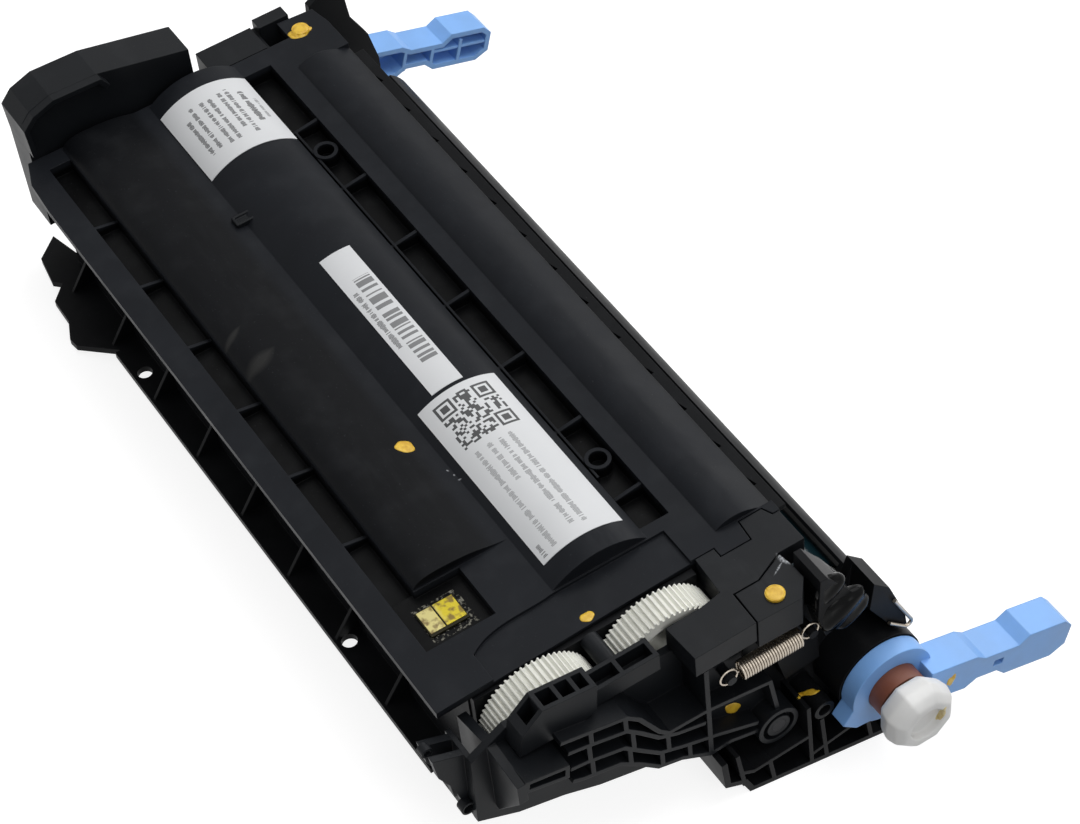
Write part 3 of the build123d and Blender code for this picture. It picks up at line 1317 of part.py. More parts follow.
def label_face(x, left, right):
    """Thin band on the crown of the middle bulge."""
    start = degrees(atan2(sqrt(crown_radius ** 2 - (right - CROWN[0]) ** 2), right - CROWN[0]))
    end = degrees(atan2(sqrt(crown_radius ** 2 - (left - CROWN[0]) ** 2), left - CROWN[0]))
    with BuildSketch(yz(x)) as face:
        with BuildLine():
            under = CenterArc(CROWN, crown_radius + label_lift, start, end - start)
            over = CenterArc(CROWN, crown_radius + label_lift + label_thick, start, end - start)
            Line(under @ 0, over @ 0)
            Line(under @ 1, over @ 1)
        make_face()
    return face.sketch


for name, far, length, left, right in (
        ("far_label", far_label_far, far_label_length, far_label_left, far_label_right),
        ("bar_label", bar_label_far, bar_label_length, bar_label_left, bar_label_right),
        ("code_label", code_label_far, code_label_length, code_label_left, code_label_right)):
    with BuildPart() as label:
        extrude(label_face(far, left, right), amount=length)
    write(label, name)

# Tension spring between the two units: a close coil with a loop on each post
spring_run = hypot(spring_right_post[0] - spring_left_post[0], spring_right_post[1] - spring_left_post[1])
spring_bearing = atan2(spring_right_post[1] - spring_left_post[1], spring_right_post[0] - spring_left_post[0])
spring_plane = Plane(origin=(spring_x, *spring_left_post),
                     x_dir=(0, cos(spring_bearing), sin(spring_bearing)), z_dir=(1, 0, 0))
loop_radius = spring_post_radius + spring_wire / 2 + 0.15
coil_start = 2 * loop_radius + 1.0
coil_length = spring_run - 2 * coil_start
with BuildPart() as tension_spring:
    with BuildSketch(spring_plane):
        with BuildLine():
            turn = coil_length / spring_turns
            waves = []
            for number in range(spring_turns):
                waves.append((coil_start + number * turn, spring_radius - spring_wire / 2))
                waves.append((coil_start + (number + 0.5) * turn, spring_radius))
            waves.append((coil_start + coil_length, spring_radius - spring_wire / 2))
            Polyline((coil_start, spring_radius - spring_wire), *waves,
                     (coil_start + coil_length, spring_radius - spring_wire), close=True)
        make_face()
    revolve(axis=Axis(spring_plane.origin, spring_plane.x_dir), revolution_arc=360)
    for centre, reach in ((0, coil_start + 0.4), (spring_run, -coil_start - 0.4)):
        with BuildSketch(spring_plane):
            with Locations((centre, 0)):
                Circle(loop_radius + spring_wire / 2)
                Circle(loop_radius - spring_wire / 2, mode=Mode.SUBTRACT)
        extrude(amount=spring_wire / 2, both=True)
        side = 1 if reach > 0 else -1
        with BuildSketch(spring_plane):
            with Locations((centre + side * (loop_radius + coil_start + 0.4) / 2, 0)):
                Rectangle(coil_start + 0.4 - loop_radius, spring_wire)
        extrude(amount=spring_wire / 2, both=True)
        with BuildSketch(spring_plane):
            with Locations((centre + side * (coil_start + 0.2), 0)):
                Rectangle(0.4, 2 * spring_radius - spring_wire)
        extrude(amount=spring_wire / 2, both=True)
write(tension_spring, "tension_spring")

# Wire of the torsion spring over the near lever's ring
lever_spring_wire = 0.6
lever_spring_x = drum_plate_near_face - 2.1
with BuildPart() as near_lever_spring:
    with BuildLine(Plane.YZ.offset(lever_spring_x)):
        wire_line = FilletPolyline((126.4, -25.2), (136.6, -47.6), (124.5, -34.8), radius=1.6)
    with BuildSketch(Plane(origin=wire_line @ 0, z_dir=wire_line % 0)):
        Circle(lever_spring_wire)
    sweep()
write(near_lever_spring, "near_lever_spring")
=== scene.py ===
"""Toner cartridge: satin black mouldings, white gears, printed labels, spring and blue levers."""

from __future__ import annotations

import logging
import math
from dataclasses import dataclass
from enum import Enum
from functools import cache, reduce
from typing import Sequence

import bpy
from mathutils import Matrix, Vector
from mathutils.bvhtree import BVHTree


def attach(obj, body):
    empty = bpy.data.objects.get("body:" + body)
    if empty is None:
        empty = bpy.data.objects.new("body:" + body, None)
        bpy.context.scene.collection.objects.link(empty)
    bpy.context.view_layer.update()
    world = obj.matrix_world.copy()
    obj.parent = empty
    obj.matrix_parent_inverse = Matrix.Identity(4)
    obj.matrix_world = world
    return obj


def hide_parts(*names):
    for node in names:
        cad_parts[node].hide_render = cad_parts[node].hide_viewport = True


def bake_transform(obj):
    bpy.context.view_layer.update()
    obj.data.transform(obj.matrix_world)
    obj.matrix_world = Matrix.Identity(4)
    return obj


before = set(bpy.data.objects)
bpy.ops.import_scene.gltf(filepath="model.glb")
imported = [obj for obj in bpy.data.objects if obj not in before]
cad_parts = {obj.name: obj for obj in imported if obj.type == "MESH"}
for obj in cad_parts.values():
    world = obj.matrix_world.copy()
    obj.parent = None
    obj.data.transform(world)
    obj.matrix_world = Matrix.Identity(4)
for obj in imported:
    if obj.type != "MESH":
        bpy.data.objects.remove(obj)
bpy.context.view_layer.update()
LOG = logging.getLogger("cartridge")

Point = tuple[float, float, float]
Colour = tuple[float, float, float]

# Places are written in millimetres on the tilted top plate: x to the geared end, y to the drum,
# z square to the plate
PLATE_TILT = math.radians(13.0)
PLATE_ORIGIN = Vector((-0.10385, -0.0875903, 0.0575))
MILLIMETRE = 0.001
TURN = Matrix.Rotation(PLATE_TILT, 4, "X")
FROM_PLATE = Matrix.Translation(PLATE_ORIGIN) @ TURN @ Matrix.Scale(MILLIMETRE, 4)

# Shaft of the drum, across the plate
DRUM_Y = 119.5
DRUM_Z = -53.0

# Directions on the plate: along the cartridge, down into the plate, from the camera into the
# picture, and along a mark that rises to the picture's right
ALONG = (1.0, 0.0, 0.0)
DOWN = (0.0, 0.0, -1.0)
INTO_VIEW = (-0.5806, 0.2974, -0.7579)
RISING_VIEW = (0.3651, 0.9265, 0.0839)


class Body(Enum):
    """Bodies that new pieces ride on."""

    TONER_UNIT = "toner_unit"
    DRUM_UNIT = "drum_unit"
    DRUM = "drum"
    NEAR_LEVER = "near_lever"
    FAR_LEVER = "far_lever"


class Slot(Enum):
    """Material slots of the record, which nothing in this script uses."""

    BLACK = "black_plastic"
    PAINT = "marked_screw"
    SPRING = "spring_steel"
    CHIP = "chip_board"
    WHITE = "white_plastic"
    BLUE = "blue_plastic"


def srgb(red: int, green: int, blue: int) -> Colour:
    """Linear colour of an 8-bit screen colour.

    Args:
        red: Red, 0 to 255.
        green: Green, 0 to 255.
        blue: Blue, 0 to 255.

    Returns:
        The three linear channels.
    """
    def linear(value: int) -> float:
        """One channel, made linear."""
        share = value / 255
        return share / 12.92 if share <= 0.04045 else ((share + 0.055) / 1.055) ** 2.4

    return linear(red), linear(green), linear(blue)


# Node graphs


class Graph:
    """Short calls that add nodes to a tree and wire them up."""

    def __init__(self, tree: bpy.types.NodeTree) -> None:
        """Keep the tree that nodes are added to."""
        self.tree = tree

    def wire(self, value: object, socket: bpy.types.NodeSocket) -> None:
        """Link a socket, or set a plain value.

        Args:
            value: An output socket, or a value for the input.
            socket: The input socket.
        """
        if isinstance(value, bpy.types.NodeSocket):
            self.tree.links.new(value, socket)
        else:
            socket.default_value = value

    def node(self, kind: str, inputs: dict | None = None, **settings: object) -> bpy.types.Node:
        """Add a node.

        Args:
            kind: Its type, without the ShaderNode prefix.
            inputs: Input sockets by name or number, and what feeds them.
            settings: Properties of the node.

        Returns:
            The new node.
        """
        made = self.tree.nodes.new("ShaderNode" + kind)
        for name, value in settings.items():
            setattr(made, name, value)
        for key, value in (inputs or {}).items():
            self.wire(value, made.inputs[key])
        return made

    def math(self, operation: str, *values: object) -> bpy.types.NodeSocket:
        """Result of a Math node on one to three values."""
        return self.node("Math", dict(enumerate(values)), operation=operation).outputs[0]

    def product(self, *values: object) -> object:
        """Product of two or more values."""
        return reduce(lambda first, second: self.math("MULTIPLY", first, second), values)

    def band(self, value: object, low: object, high: object) -> object:
        """Mask that is 1 where a value lies between two limits."""
        return self.product(self.math("GREATER_THAN", value, low), self.math("LESS_THAN", value, high))

    def either(self, masks: Sequence[object]) -> object:
        """Largest of several masks."""
        return reduce(lambda first, second: self.math("MAXIMUM", first, second), masks)

    def blend(self, share: object, first: object, second: object) -> bpy.types.NodeSocket:
        """Colour mixed from two by a share.

        Args:
            share: How much of the second colour there is, 0 to 1.
            first: A colour, or the socket that gives it.
            second: The other one.

        Returns:
            The mixed colour.
        """
        mixed = self.node("Mix", data_type="RGBA")
        for key, value in ((0, share), (6, first), (7, second)):
            self.wire((*value, 1.0) if isinstance(value, tuple) else value, mixed.inputs[key])
        return mixed.outputs[2]

    def ramp(self, value: object, low: float, high: float, start: float = 0.0,
             end: float = 1.0) -> bpy.types.NodeSocket:
        """Value mapped from one range to another and held at its ends."""
        return self.node("MapRange", {0: value, 1: low, 2: high, 3: start, 4: end}).outputs[0]

    def noise(self, vector: object, scale: float, detail: float = 3.0) -> bpy.types.NodeSocket:
        """Value of a noise texture."""
        return self.node("TexNoise", {"Vector": vector, "Scale": scale, "Detail": detail}).outputs[0]

    def chance(self, column: object, row: object) -> bpy.types.NodeSocket:
        """Random value of a cell."""
        cell = self.node("CombineXYZ", {0: column, 1: row}).outputs[0]
        return self.node("TexWhiteNoise", {"Vector": cell}).outputs["Value"]


class Group(Enum):
    """Shared node groups, each built once."""

    PLATE = "plate_place"
    GRAIN = "moulded_grain"
    DUST = "settled_dust"


def new_group(kind: Group, inputs: dict[str, str], outputs: dict[str, str]) -> tuple:
    """Start a shader node group.

    Args:
        kind: The group.
        inputs: Socket names, each with its type.
        outputs: The same for what it puts out.

    Returns:
        The graph, its input node and its output node.
    """
    tree = bpy.data.node_groups.new(kind.value, "ShaderNodeTree")
    for way, sockets in (("INPUT", inputs), ("OUTPUT", outputs)):
        for name, socket_type in sockets.items():
            tree.interface.new_socket(name, in_out=way, socket_type=socket_type)
    return Graph(tree), tree.nodes.new("NodeGroupInput"), tree.nodes.new("NodeGroupOutput")


def build_plate_group() -> None:
    """Turn Object coordinates into millimetres on the tilted plate."""
    graph, _, out = new_group(Group.PLATE, {}, {"Place": "NodeSocketVector"})
    back = FROM_PLATE.inverted()
    mapping = graph.node("Mapping", {"Vector": graph.node("TexCoord").outputs["Object"],
                                     "Location": back.to_translation(),
                                     "Rotation": back.to_euler(),
                                     "Scale": (1 / MILLIMETRE,) * 3})
    graph.wire(mapping.outputs[0], out.inputs["Place"])


def build_grain_group() -> None:
    """Fine moulded texture as a height, and slow variation as a mask."""
    graph, given, out = new_group(Group.GRAIN, {"Place": "NodeSocketVector"},
                                  {"Height": "NodeSocketFloat", "Patch": "NodeSocketFloat"})
    place = given.outputs["Place"]
    graph.wire(graph.noise(place, 4.0), out.inputs["Height"])
    graph.wire(graph.ramp(graph.noise(place, 0.05, 4.0), 0.35, 0.65), out.inputs["Patch"])


def build_dust_group() -> None:
    """Pale specks and haze that lie on faces turned upwards."""
    graph, given, out = new_group(Group.DUST, {"Place": "NodeSocketVector", "Amount": "NodeSocketFloat"},
                                  {"Mask": "NodeSocketFloat"})
    place = given.outputs["Place"]
    normal = graph.node("NewGeometry").outputs["Normal"]
    up = graph.ramp(graph.node("SeparateXYZ", {0: normal}).outputs["Z"], 0.3, 0.95)
    specks = graph.ramp(graph.noise(place, 1.3, 4.0), 0.66, 0.78)
    haze = graph.ramp(graph.noise(place, 0.09, 5.0), 0.5, 0.85, 0.0, 0.35)
    mask = graph.product(graph.either((specks, haze)), up, given.outputs["Amount"])
    graph.wire(mask, out.inputs["Mask"])


def use_group(graph: Graph, kind: Group, inputs: dict | None = None) -> bpy.types.Node:
    """Place a shared group in a material's graph.

    Args:
        graph: The material's graph.
        kind: The group.
        inputs: Input sockets by name, and what feeds them.

    Returns:
        The node that holds the group.
    """
    node = graph.tree.nodes.new("ShaderNodeGroup")
    node.node_tree = bpy.data.node_groups[kind.value]
    for key, value in (inputs or {}).items():
        graph.wire(value, node.inputs[key])
    return node


def start_material(name: str) -> tuple[bpy.types.Material, Graph, bpy.types.Node, bpy.types.NodeSocket]:
    """Start a material.

    Args:
        name: Its name.

    Returns:
        The material, its graph, its Principled shader, and the plate coordinates.
    """
    material = bpy.data.materials.new(name)
    material.use_nodes = True
    graph = Graph(material.node_tree)
    shader = material.node_tree.nodes["Principled BSDF"]
    return material, graph, shader, use_group(graph, Group.PLATE).outputs["Place"]


def dent(graph: Graph, shader: bpy.types.Node, height: object, strength: float, depth: float,
         normal: object = None) -> None:
    """Dent a material's surface by a height.

    Args:
        graph: The material's graph.
        shader: Its Principled shader.
        height: The height, 0 to 1.
        strength: How strongly it shows.
        depth: Depth of the deepest dent, in millimetres.
        normal: Normal to start from, or nothing for the face's own.
    """
    inputs = {"Height": height, "Strength": strength, "Distance": depth * MILLIMETRE}
    if normal:
        inputs["Normal"] = normal
    graph.wire(graph.node("Bump", inputs).outputs[0], shader.inputs["Normal"])


# Finishes

DUST_GREY = srgb(120, 123, 127)
RUB_GREY = srgb(110, 114, 118)
SMUDGE_GREY = srgb(108, 107, 104)
SCRATCH_WHITE = srgb(165, 168, 172)
FLECK_GREY = srgb(122, 120, 110)
# Painted shade: the near black that recess floors are darkened to
HOLLOW_SHADE_BLACK = srgb(4, 4, 4)
# Painted shade: the dark colour of the raised faces on the lid's dim side
SIDE_SHADE_BLACK = srgb(9, 10, 12)
PALE_GOLD = srgb(190, 182, 132)
BLOTCH_BROWN = srgb(104, 80, 44)
PAPER_GREY = srgb(202, 204, 206)
PAPER_WHITE = srgb(213, 214, 216)
INK = srgb(26, 27, 29)

# How far roughness strays on a moulding, what dust adds to it, and how deep light goes, in metres
ROUGHNESS_SPREAD = 0.05
DUST_ROUGHNESS = 0.4
LIGHT_REACH = (0.002, 0.002, 0.0018)

# Small marks and bars to the millimetre, and tiles across the square
MARKS_PER_MILLIMETRE = 2.2
BARS_PER_MILLIMETRE = 1.7
TILES_ACROSS = 23.0


@dataclass(frozen=True)
class Moulding:
    """Moulded plastic with a fine grain, soft edges and a little dust.

    Attributes:
        name: Name of the material.
        colour: Its linear colour.
        roughness: Middle of its roughness.
        edge: Radius in millimetres over which edges catch the light.
        dust: How much dust lies on it.
        grain: Depth of the grain.
        subsurface: Share of light that enters the plastic.
        gloss: Strength of the reflection at its surface.
    """

    name: str
    colour: Colour
    roughness: float
    edge: float = 0.35
    dust: float = 0.3
    grain: float = 0.12
    subsurface: float = 0.0
    gloss: float = 0.5

    def tint(self, graph: Graph, place: bpy.types.NodeSocket, patch: bpy.types.NodeSocket) -> object:
        """Colour with its slow variation."""
        deep = tuple(channel * 0.86 for channel in self.colour)
        return graph.blend(patch, deep, self.colour)

    def material(self) -> bpy.types.Material:
        """Build the material.

        Returns:
            The material.
        """
        material, graph, shader, place = start_material(self.name)
        grain = use_group(graph, Group.GRAIN, {"Place": place})
        patch = grain.outputs["Patch"]
        dust = use_group(graph, Group.DUST, {"Place": place, "Amount": self.dust}).outputs["Mask"]
        graph.wire(graph.blend(dust, self.tint(graph, place, patch), DUST_GREY), shader.inputs["Base Color"])
        shader.inputs["Specular IOR Level"].default_value = self.gloss
        rough = graph.ramp(patch, 0.0, 1.0, self.roughness - ROUGHNESS_SPREAD,
                           self.roughness + ROUGHNESS_SPREAD)
        graph.wire(graph.math("ADD", rough, graph.product(dust, DUST_ROUGHNESS)), shader.inputs["Roughness"])
        if self.subsurface:
            shader.inputs["Subsurface Weight"].default_value = self.subsurface
            shader.inputs["Subsurface Radius"].default_value = LIGHT_REACH
        soft = graph.node("Bevel", {"Radius": self.edge * MILLIMETRE}, samples=6)
        dent(graph, shader, grain.outputs["Height"], self.grain, 0.06, soft.outputs[0])
        return material


@dataclass(frozen=True)
class Rub:
    """Oval place on the plate that handling rubbed.

    Attributes:
        x: Its middle along x.
        y: Its middle along y.
        half_x: Half its size along x.
        half_y: Half its size along y.
    """

    x: float
    y: float
    half_x: float
    half_y: float

    def mask(self, graph: Graph, x: object, y: object) -> object:
        """Mask that fades from the middle to the edge.

        Args:
            graph: The material's graph.
            x: Place along x.
            y: Place along y.

        Returns:
            The mask.
        """
        along = graph.math("DIVIDE", graph.math("SUBTRACT", x, self.x), self.half_x)
        across = graph.math("DIVIDE", graph.math("SUBTRACT", y, self.y), self.half_y)
        reach = graph.math("ADD", graph.math("POWER", along, 2.0), graph.math("POWER", across, 2.0))
        return graph.ramp(reach, 0.2, 1.0, 1.0, 0.0)


@dataclass(frozen=True)
class Leaf:
    """Soft mark on the plate that is pointed at both ends.

    Attributes:
        x: Its middle along x.
        y: Its middle along y.
        half_length: Half its length.
        half_width: Half its width.
        lean: Angle of its length to x, in degrees.
    """

    x: float
    y: float
    half_length: float
    half_width: float
    lean: float

    def mask(self, graph: Graph, x: object, y: object) -> object:
        """Mask that fades from the middle to the edge.

        Args:
            graph: The material's graph.
            x: Place along x.
            y: Place along y.

        Returns:
            The mask.
        """
        cosine = math.cos(math.radians(self.lean))
        sine = math.sin(math.radians(self.lean))
        off_x = graph.math("SUBTRACT", x, self.x)
        off_y = graph.math("SUBTRACT", y, self.y)
        along = graph.math("ADD", graph.product(off_x, cosine / self.half_length),
                           graph.product(off_y, sine / self.half_length))
        across = graph.math("SUBTRACT", graph.product(off_y, cosine / self.half_width),
                            graph.product(off_x, sine / self.half_width))
        reach = graph.math("ADD", graph.product(along, along), graph.math("ABSOLUTE", across))
        return graph.ramp(reach, 0.3, 1.0, 1.0, 0.0)


@dataclass(frozen=True)
class ScuffedMoulding(Moulding):
    """Black moulding with the pale rub marks and smudges that handling left, and painted shade in its
    recesses and on one side.

    Attributes:
        marks: Rubbed places.
        smudges: Soft grey smudges.
        scratches: Small pale scratches.
        painted_shade_levels: Levels between which a recess is darkened as painted shade, or nothing.
        pocket: Corners along x and y of a pocket whose walls are flecked, or nothing.
        shaded_side: Side along y up to which raised faces are darkened as painted shade, or nothing.
    """

    marks: tuple[Rub, ...] = ()
    smudges: tuple[Leaf, ...] = ()
    scratches: tuple[Leaf, ...] = ()
    painted_shade_levels: tuple[float, float] | None = None
    pocket: tuple[float, float, float, float] | None = None
    shaded_side: float | None = None

    def tint(self, graph: Graph, place: bpy.types.NodeSocket, patch: bpy.types.NodeSocket) -> object:
        """Colour with slow variation, rub marks, and painted shade in recesses and on the raised faces of
        one side.

        Args:
            graph: The material's graph.
            place: Place on the plate.
            patch: Mask of the slow variation.

        Returns:
            The colour.
        """
        x, y, z = graph.node("SeparateXYZ", {0: place}).outputs
        stretched = graph.node("Mapping", {"Vector": place, "Rotation": (0.0, 0.0, 0.5),
                                           "Scale": (0.25, 1.4, 1.0)}).outputs[0]
        streaks = graph.ramp(graph.noise(stretched, 0.3), 0.45, 0.95)
        rubbed = graph.product(graph.either([mark.mask(graph, x, y) for mark in self.marks]), streaks, 0.12)
        tone = graph.blend(rubbed, super().tint(graph, place, patch), RUB_GREY)
        # Painted shade: faces below the plate level are darkened towards near black
        if self.painted_shade_levels:
            tone = graph.blend(graph.ramp(z, *self.painted_shade_levels, 0.9, 0.0), tone, HOLLOW_SHADE_BLACK)
        # Painted shade: raised faces to the left of that side are darkened, as the dim side of the lid's top
        if self.shaded_side:
            left_of_side = graph.ramp(y, self.shaded_side - 4.0, self.shaded_side, 0.8, 0.0)
            tone = graph.blend(graph.product(graph.ramp(z, 0.2, 1.5), left_of_side), tone, SIDE_SHADE_BLACK)
        if self.smudges:
            leaves = graph.either([smudge.mask(graph, x, y) for smudge in self.smudges])
            tone = graph.blend(graph.product(leaves, graph.ramp(z, 0.1, 0.5, 0.0, 0.12)), tone, SMUDGE_GREY)
        if self.scratches:
            leaves = graph.either([scratch.mask(graph, x, y) for scratch in self.scratches])
            rough = graph.ramp(graph.noise(place, 1.6), 0.35, 0.6)
            tone = graph.blend(graph.product(leaves, rough), tone, SCRATCH_WHITE)
        if self.pocket:
            far, near, left, right = self.pocket
            walls = graph.product(graph.band(x, far, near), graph.band(y, left, right),
                                  graph.band(z, -3.3, -0.1))
            flecks = graph.ramp(graph.noise(place, 1.1), 0.53, 0.64)
            tone = graph.blend(graph.product(walls, flecks), tone, FLECK_GREY)
        return tone


@dataclass(frozen=True)
class Metal:
    """Turned, pressed or drawn metal.

    Attributes:
        name: Name of the material.
        colour: Its linear colour.
        roughness: Middle of its roughness.
        stretch: Scale of the brush marks along x, y and z.
    """

    name: str
    colour: Colour
    roughness: float
    stretch: Point = (0.1, 3.0, 3.0)

    def material(self) -> bpy.types.Material:
        """Build the material.

        Returns:
            The material.
        """
        material, graph, shader, place = start_material(self.name)
        drawn = graph.node("Mapping", {"Vector": place, "Scale": self.stretch}).outputs[0]
        lines = graph.noise(drawn, 3.0)
        dark = tuple(channel * 0.7 for channel in self.colour)
        graph.wire(graph.blend(lines, dark, self.colour), shader.inputs["Base Color"])
        shader.inputs["Metallic"].default_value = 1.0
        graph.wire(graph.ramp(lines, 0.2, 0.8, self.roughness - 0.07, self.roughness + 0.1),
                   shader.inputs["Roughness"])
        dent(graph, shader, lines, 0.15, 0.05)
        return material


@dataclass(frozen=True)
class WornGold(Metal):
    """Gold contact face, rubbed pale on its left side and blotched brown.

    Attributes:
        pale_left: Place along y up to which it is pale.
        pale_right: Place along y from which it keeps its colour.
    """

    pale_left: float = 5.5
    pale_right: float = 8.5

    def material(self) -> bpy.types.Material:
        """Build the material.

        Returns:
            The material.
        """
        material, graph, shader, place = start_material(self.name)
        y = graph.node("SeparateXYZ", {0: place}).outputs[1]
        uneven = graph.product(graph.math("SUBTRACT", graph.noise(place, 0.5), 0.5), 5.0)
        pale = graph.ramp(graph.math("ADD", y, uneven), self.pale_left, self.pale_right, 0.75, 0.0)
        worn = graph.blend(pale, self.colour, PALE_GOLD)
        blotches = graph.ramp(graph.noise(place, 0.36, 4.0), 0.47, 0.6, 0.0, 0.8)
        graph.wire(graph.blend(blotches, worn, BLOTCH_BROWN), shader.inputs["Base Color"])
        graph.wire(graph.ramp(blotches, 0.0, 1.0, self.roughness, 0.7), shader.inputs["Roughness"])
        graph.wire(graph.ramp(blotches, 0.0, 1.0, 0.35, 0.1), shader.inputs["Metallic"])
        dent(graph, shader, blotches, 0.5, 0.08)
        return material


@dataclass(frozen=True)
class Paint:
    """Marker paint put on with a brush, thick in the middle and thin at its edge.

    Attributes:
        name: Name of the material.
        colour: Its linear colour.
    """

    name: str
    colour: Colour

    def material(self) -> bpy.types.Material:
        """Build the material.

        Returns:
            The material.
        """
        material, graph, shader, place = start_material(self.name)
        thin = graph.ramp(graph.noise(place, 0.5), 0.3, 0.6)
        brown = tuple(channel * factor for channel, factor in zip(self.colour, (0.75, 0.66, 0.5)))
        graph.wire(graph.blend(thin, brown, self.colour), shader.inputs["Base Color"])
        graph.wire(graph.ramp(thin, 0.0, 1.0, 0.5, 0.32), shader.inputs["Roughness"])
        dent(graph, shader, thin, 0.4, 0.1)
        return material


@dataclass(frozen=True)
class PrintLine:
    """One printed line, in millimetres on the plate.

    Attributes:
        start: Where it starts along x.
        end: Where it ends along x.
        across: Its middle along y.
        height: Its height.
        ink: How dark it is, 0 to 1.
    """

    start: float
    end: float
    across: float
    height: float = 1.7
    ink: float = 0.85


@dataclass(frozen=True)
class LabelStock:
    """White label with plain marks where a real one has print.

    Attributes:
        name: Name of the material.
        lines: Rows of small marks.
        bars: Block of bars as start, end, low and high, or nothing.
        tiles: Corner and side of the square of tiles, or nothing.
    """

    name: str
    lines: tuple[PrintLine, ...]
    bars: tuple[float, float, float, float] | None = None
    tiles: tuple[float, float, float] | None = None

    def small_marks(self, graph: Graph, x: object, y: object) -> list[object]:
        """Make the rows of small marks.

        Args:
            graph: The material's graph.
            x: Place along x.
            y: Place along y.

        Returns:
            One mask for each row.
        """
        masks = []
        counted = graph.product(x, MARKS_PER_MILLIMETRE)
        for number, line in enumerate(self.lines):
            chance = graph.chance(graph.math("FLOOR", counted), float(number))
            tall = graph.product(graph.ramp(chance, 0.1, 0.9, 0.5, 1.0), line.height / 2)
            off = graph.math("ABSOLUTE", graph.math("SUBTRACT", y, line.across))
            word = graph.math("GREATER_THAN", chance, 0.16)
            stroke = graph.math("LESS_THAN", graph.math("FRACT", counted), 0.8)
            masks.append(graph.product(line.ink, graph.band(x, line.start, line.end),
                                       graph.math("LESS_THAN", off, tall), word, stroke))
        return masks

    def bar_marks(self, graph: Graph, x: object, y: object) -> object:
        """Make the block of bars.

        Args:
            graph: The material's graph.
            x: Place along x.
            y: Place along y.

        Returns:
            Its mask.
        """
        start, end, low, high = self.bars
        cell = graph.math("FLOOR", graph.product(x, BARS_PER_MILLIMETRE))
        chance = graph.node("TexWhiteNoise", {"W": cell}, noise_dimensions="1D").outputs["Value"]
        dark = graph.product(graph.math("GREATER_THAN", chance, 0.42), 0.74)
        return graph.product(graph.band(x, start, end), graph.band(y, low, high), dark)

    def tile_marks(self, graph: Graph, x: object, y: object) -> object:
        """Make the square of tiles, with a framed square in three corners.

        Args:
            graph: The material's graph.
            x: Place along x.
            y: Place along y.

        Returns:
            Its mask.
        """
        left, low, side = self.tiles
        column = graph.math("FLOOR", graph.ramp(x, left, left + side, 0.0, TILES_ACROSS))
        row = graph.math("FLOOR", graph.ramp(y, low, low + side, 0.0, TILES_ACROSS))
        pattern = graph.math("GREATER_THAN", graph.chance(column, row), 0.5)
        first = 3.0
        last = TILES_ACROSS - 4.0
        for corner_column, corner_row in ((first, first), (first, last), (last, last)):
            away = graph.either((graph.math("ABSOLUTE", graph.math("SUBTRACT", column, corner_column)),
                                 graph.math("ABSOLUTE", graph.math("SUBTRACT", row, corner_row))))
            ring = graph.either((graph.math("LESS_THAN", away, 1.5), graph.band(away, 2.5, 3.5)))
            outside = graph.math("GREATER_THAN", away, 4.5)
            pattern = graph.either((graph.product(pattern, outside), ring))
        return graph.product(graph.band(x, left, left + side), graph.band(y, low, low + side), pattern, 0.95)

    def material(self) -> bpy.types.Material:
        """Build the material.

        Returns:
            The material.
        """
        material, graph, shader, place = start_material(self.name)
        x, y, _ = graph.node("SeparateXYZ", {0: place}).outputs
        marks = self.small_marks(graph, x, y)
        if self.bars:
            marks.append(self.bar_marks(graph, x, y))
        if self.tiles:
            marks.append(self.tile_marks(graph, x, y))
        cloud = graph.noise(place, 0.06)
        paper = graph.blend(cloud, PAPER_GREY, PAPER_WHITE)
        graph.wire(graph.blend(graph.either(marks), paper, INK), shader.inputs["Base Color"])
        graph.wire(graph.ramp(cloud, 0.3, 0.7, 0.42, 0.5), shader.inputs["Roughness"])
        dent(graph, shader, graph.noise(place, 2.0), 0.08, 0.05)
        return material


SCRATCHES = (Leaf(243.8, 98.2, 3.2, 1.5, 10.0), Leaf(245.8, 95.0, 3.4, 0.4, 118.5),
             Leaf(157.5, 36.5, 0.7, 0.4, 30.0), Leaf(160.0, 37.2, 0.5, 0.4, 0.0),
             Leaf(162.5, 37.6, 0.7, 0.4, 60.0))
# The lid's finish paints shade into its recesses and onto the raised faces left of y 36
LID_BLACK = ScuffedMoulding(
    "lid_black_moulding", srgb(28, 30, 34), 0.38, dust=0.1, gloss=0.06, scratches=SCRATCHES,
    marks=(Rub(44.0, 22.0, 30.0, 9.0), Rub(60.0, 9.0, 22.0, 5.0), Rub(150.0, 20.0, 30.0, 12.0),
           Rub(200.0, 60.0, 16.0, 10.0)),
    smudges=(Leaf(73.4, 8.4, 6.0, 1.6, 120.0), Leaf(87.8, 10.6, 8.2, 3.6, 113.0)),
    painted_shade_levels=(-3.0, -1.5), pocket=(194.0, 208.0, 1.0, 16.0), shaded_side=36.0)
BLACK = ScuffedMoulding("black_moulding", srgb(23, 25, 28), 0.4, dust=0.1, gloss=0.1,
                        marks=(Rub(246.0, 88.0, 9.0, 4.0),), scratches=SCRATCHES)
DEEP_BLACK = Moulding("deep_black_moulding", srgb(18, 19, 21), 0.45, dust=0.08, gloss=0.07)
GLOSS_BLACK = Moulding("gloss_black_moulding", srgb(8, 9, 10), 0.18, dust=0.02, grain=0.03, gloss=0.08)
GEAR_WHITE = Moulding("gear_white", srgb(236, 236, 228), 0.45, edge=0.12, dust=0.08, subsurface=0.12)
HUB_WHITE = Moulding("hub_white", srgb(238, 238, 237), 0.42, edge=0.5, dust=0.03, subsurface=0.1)
LEVER_BLUE = Moulding("lever_blue", srgb(130, 181, 244), 0.45, edge=0.6, dust=0.04, subsurface=0.05)
BUSH_BROWN = Moulding("bush_brown", srgb(112, 60, 38), 0.5, edge=0.3, dust=0.1)
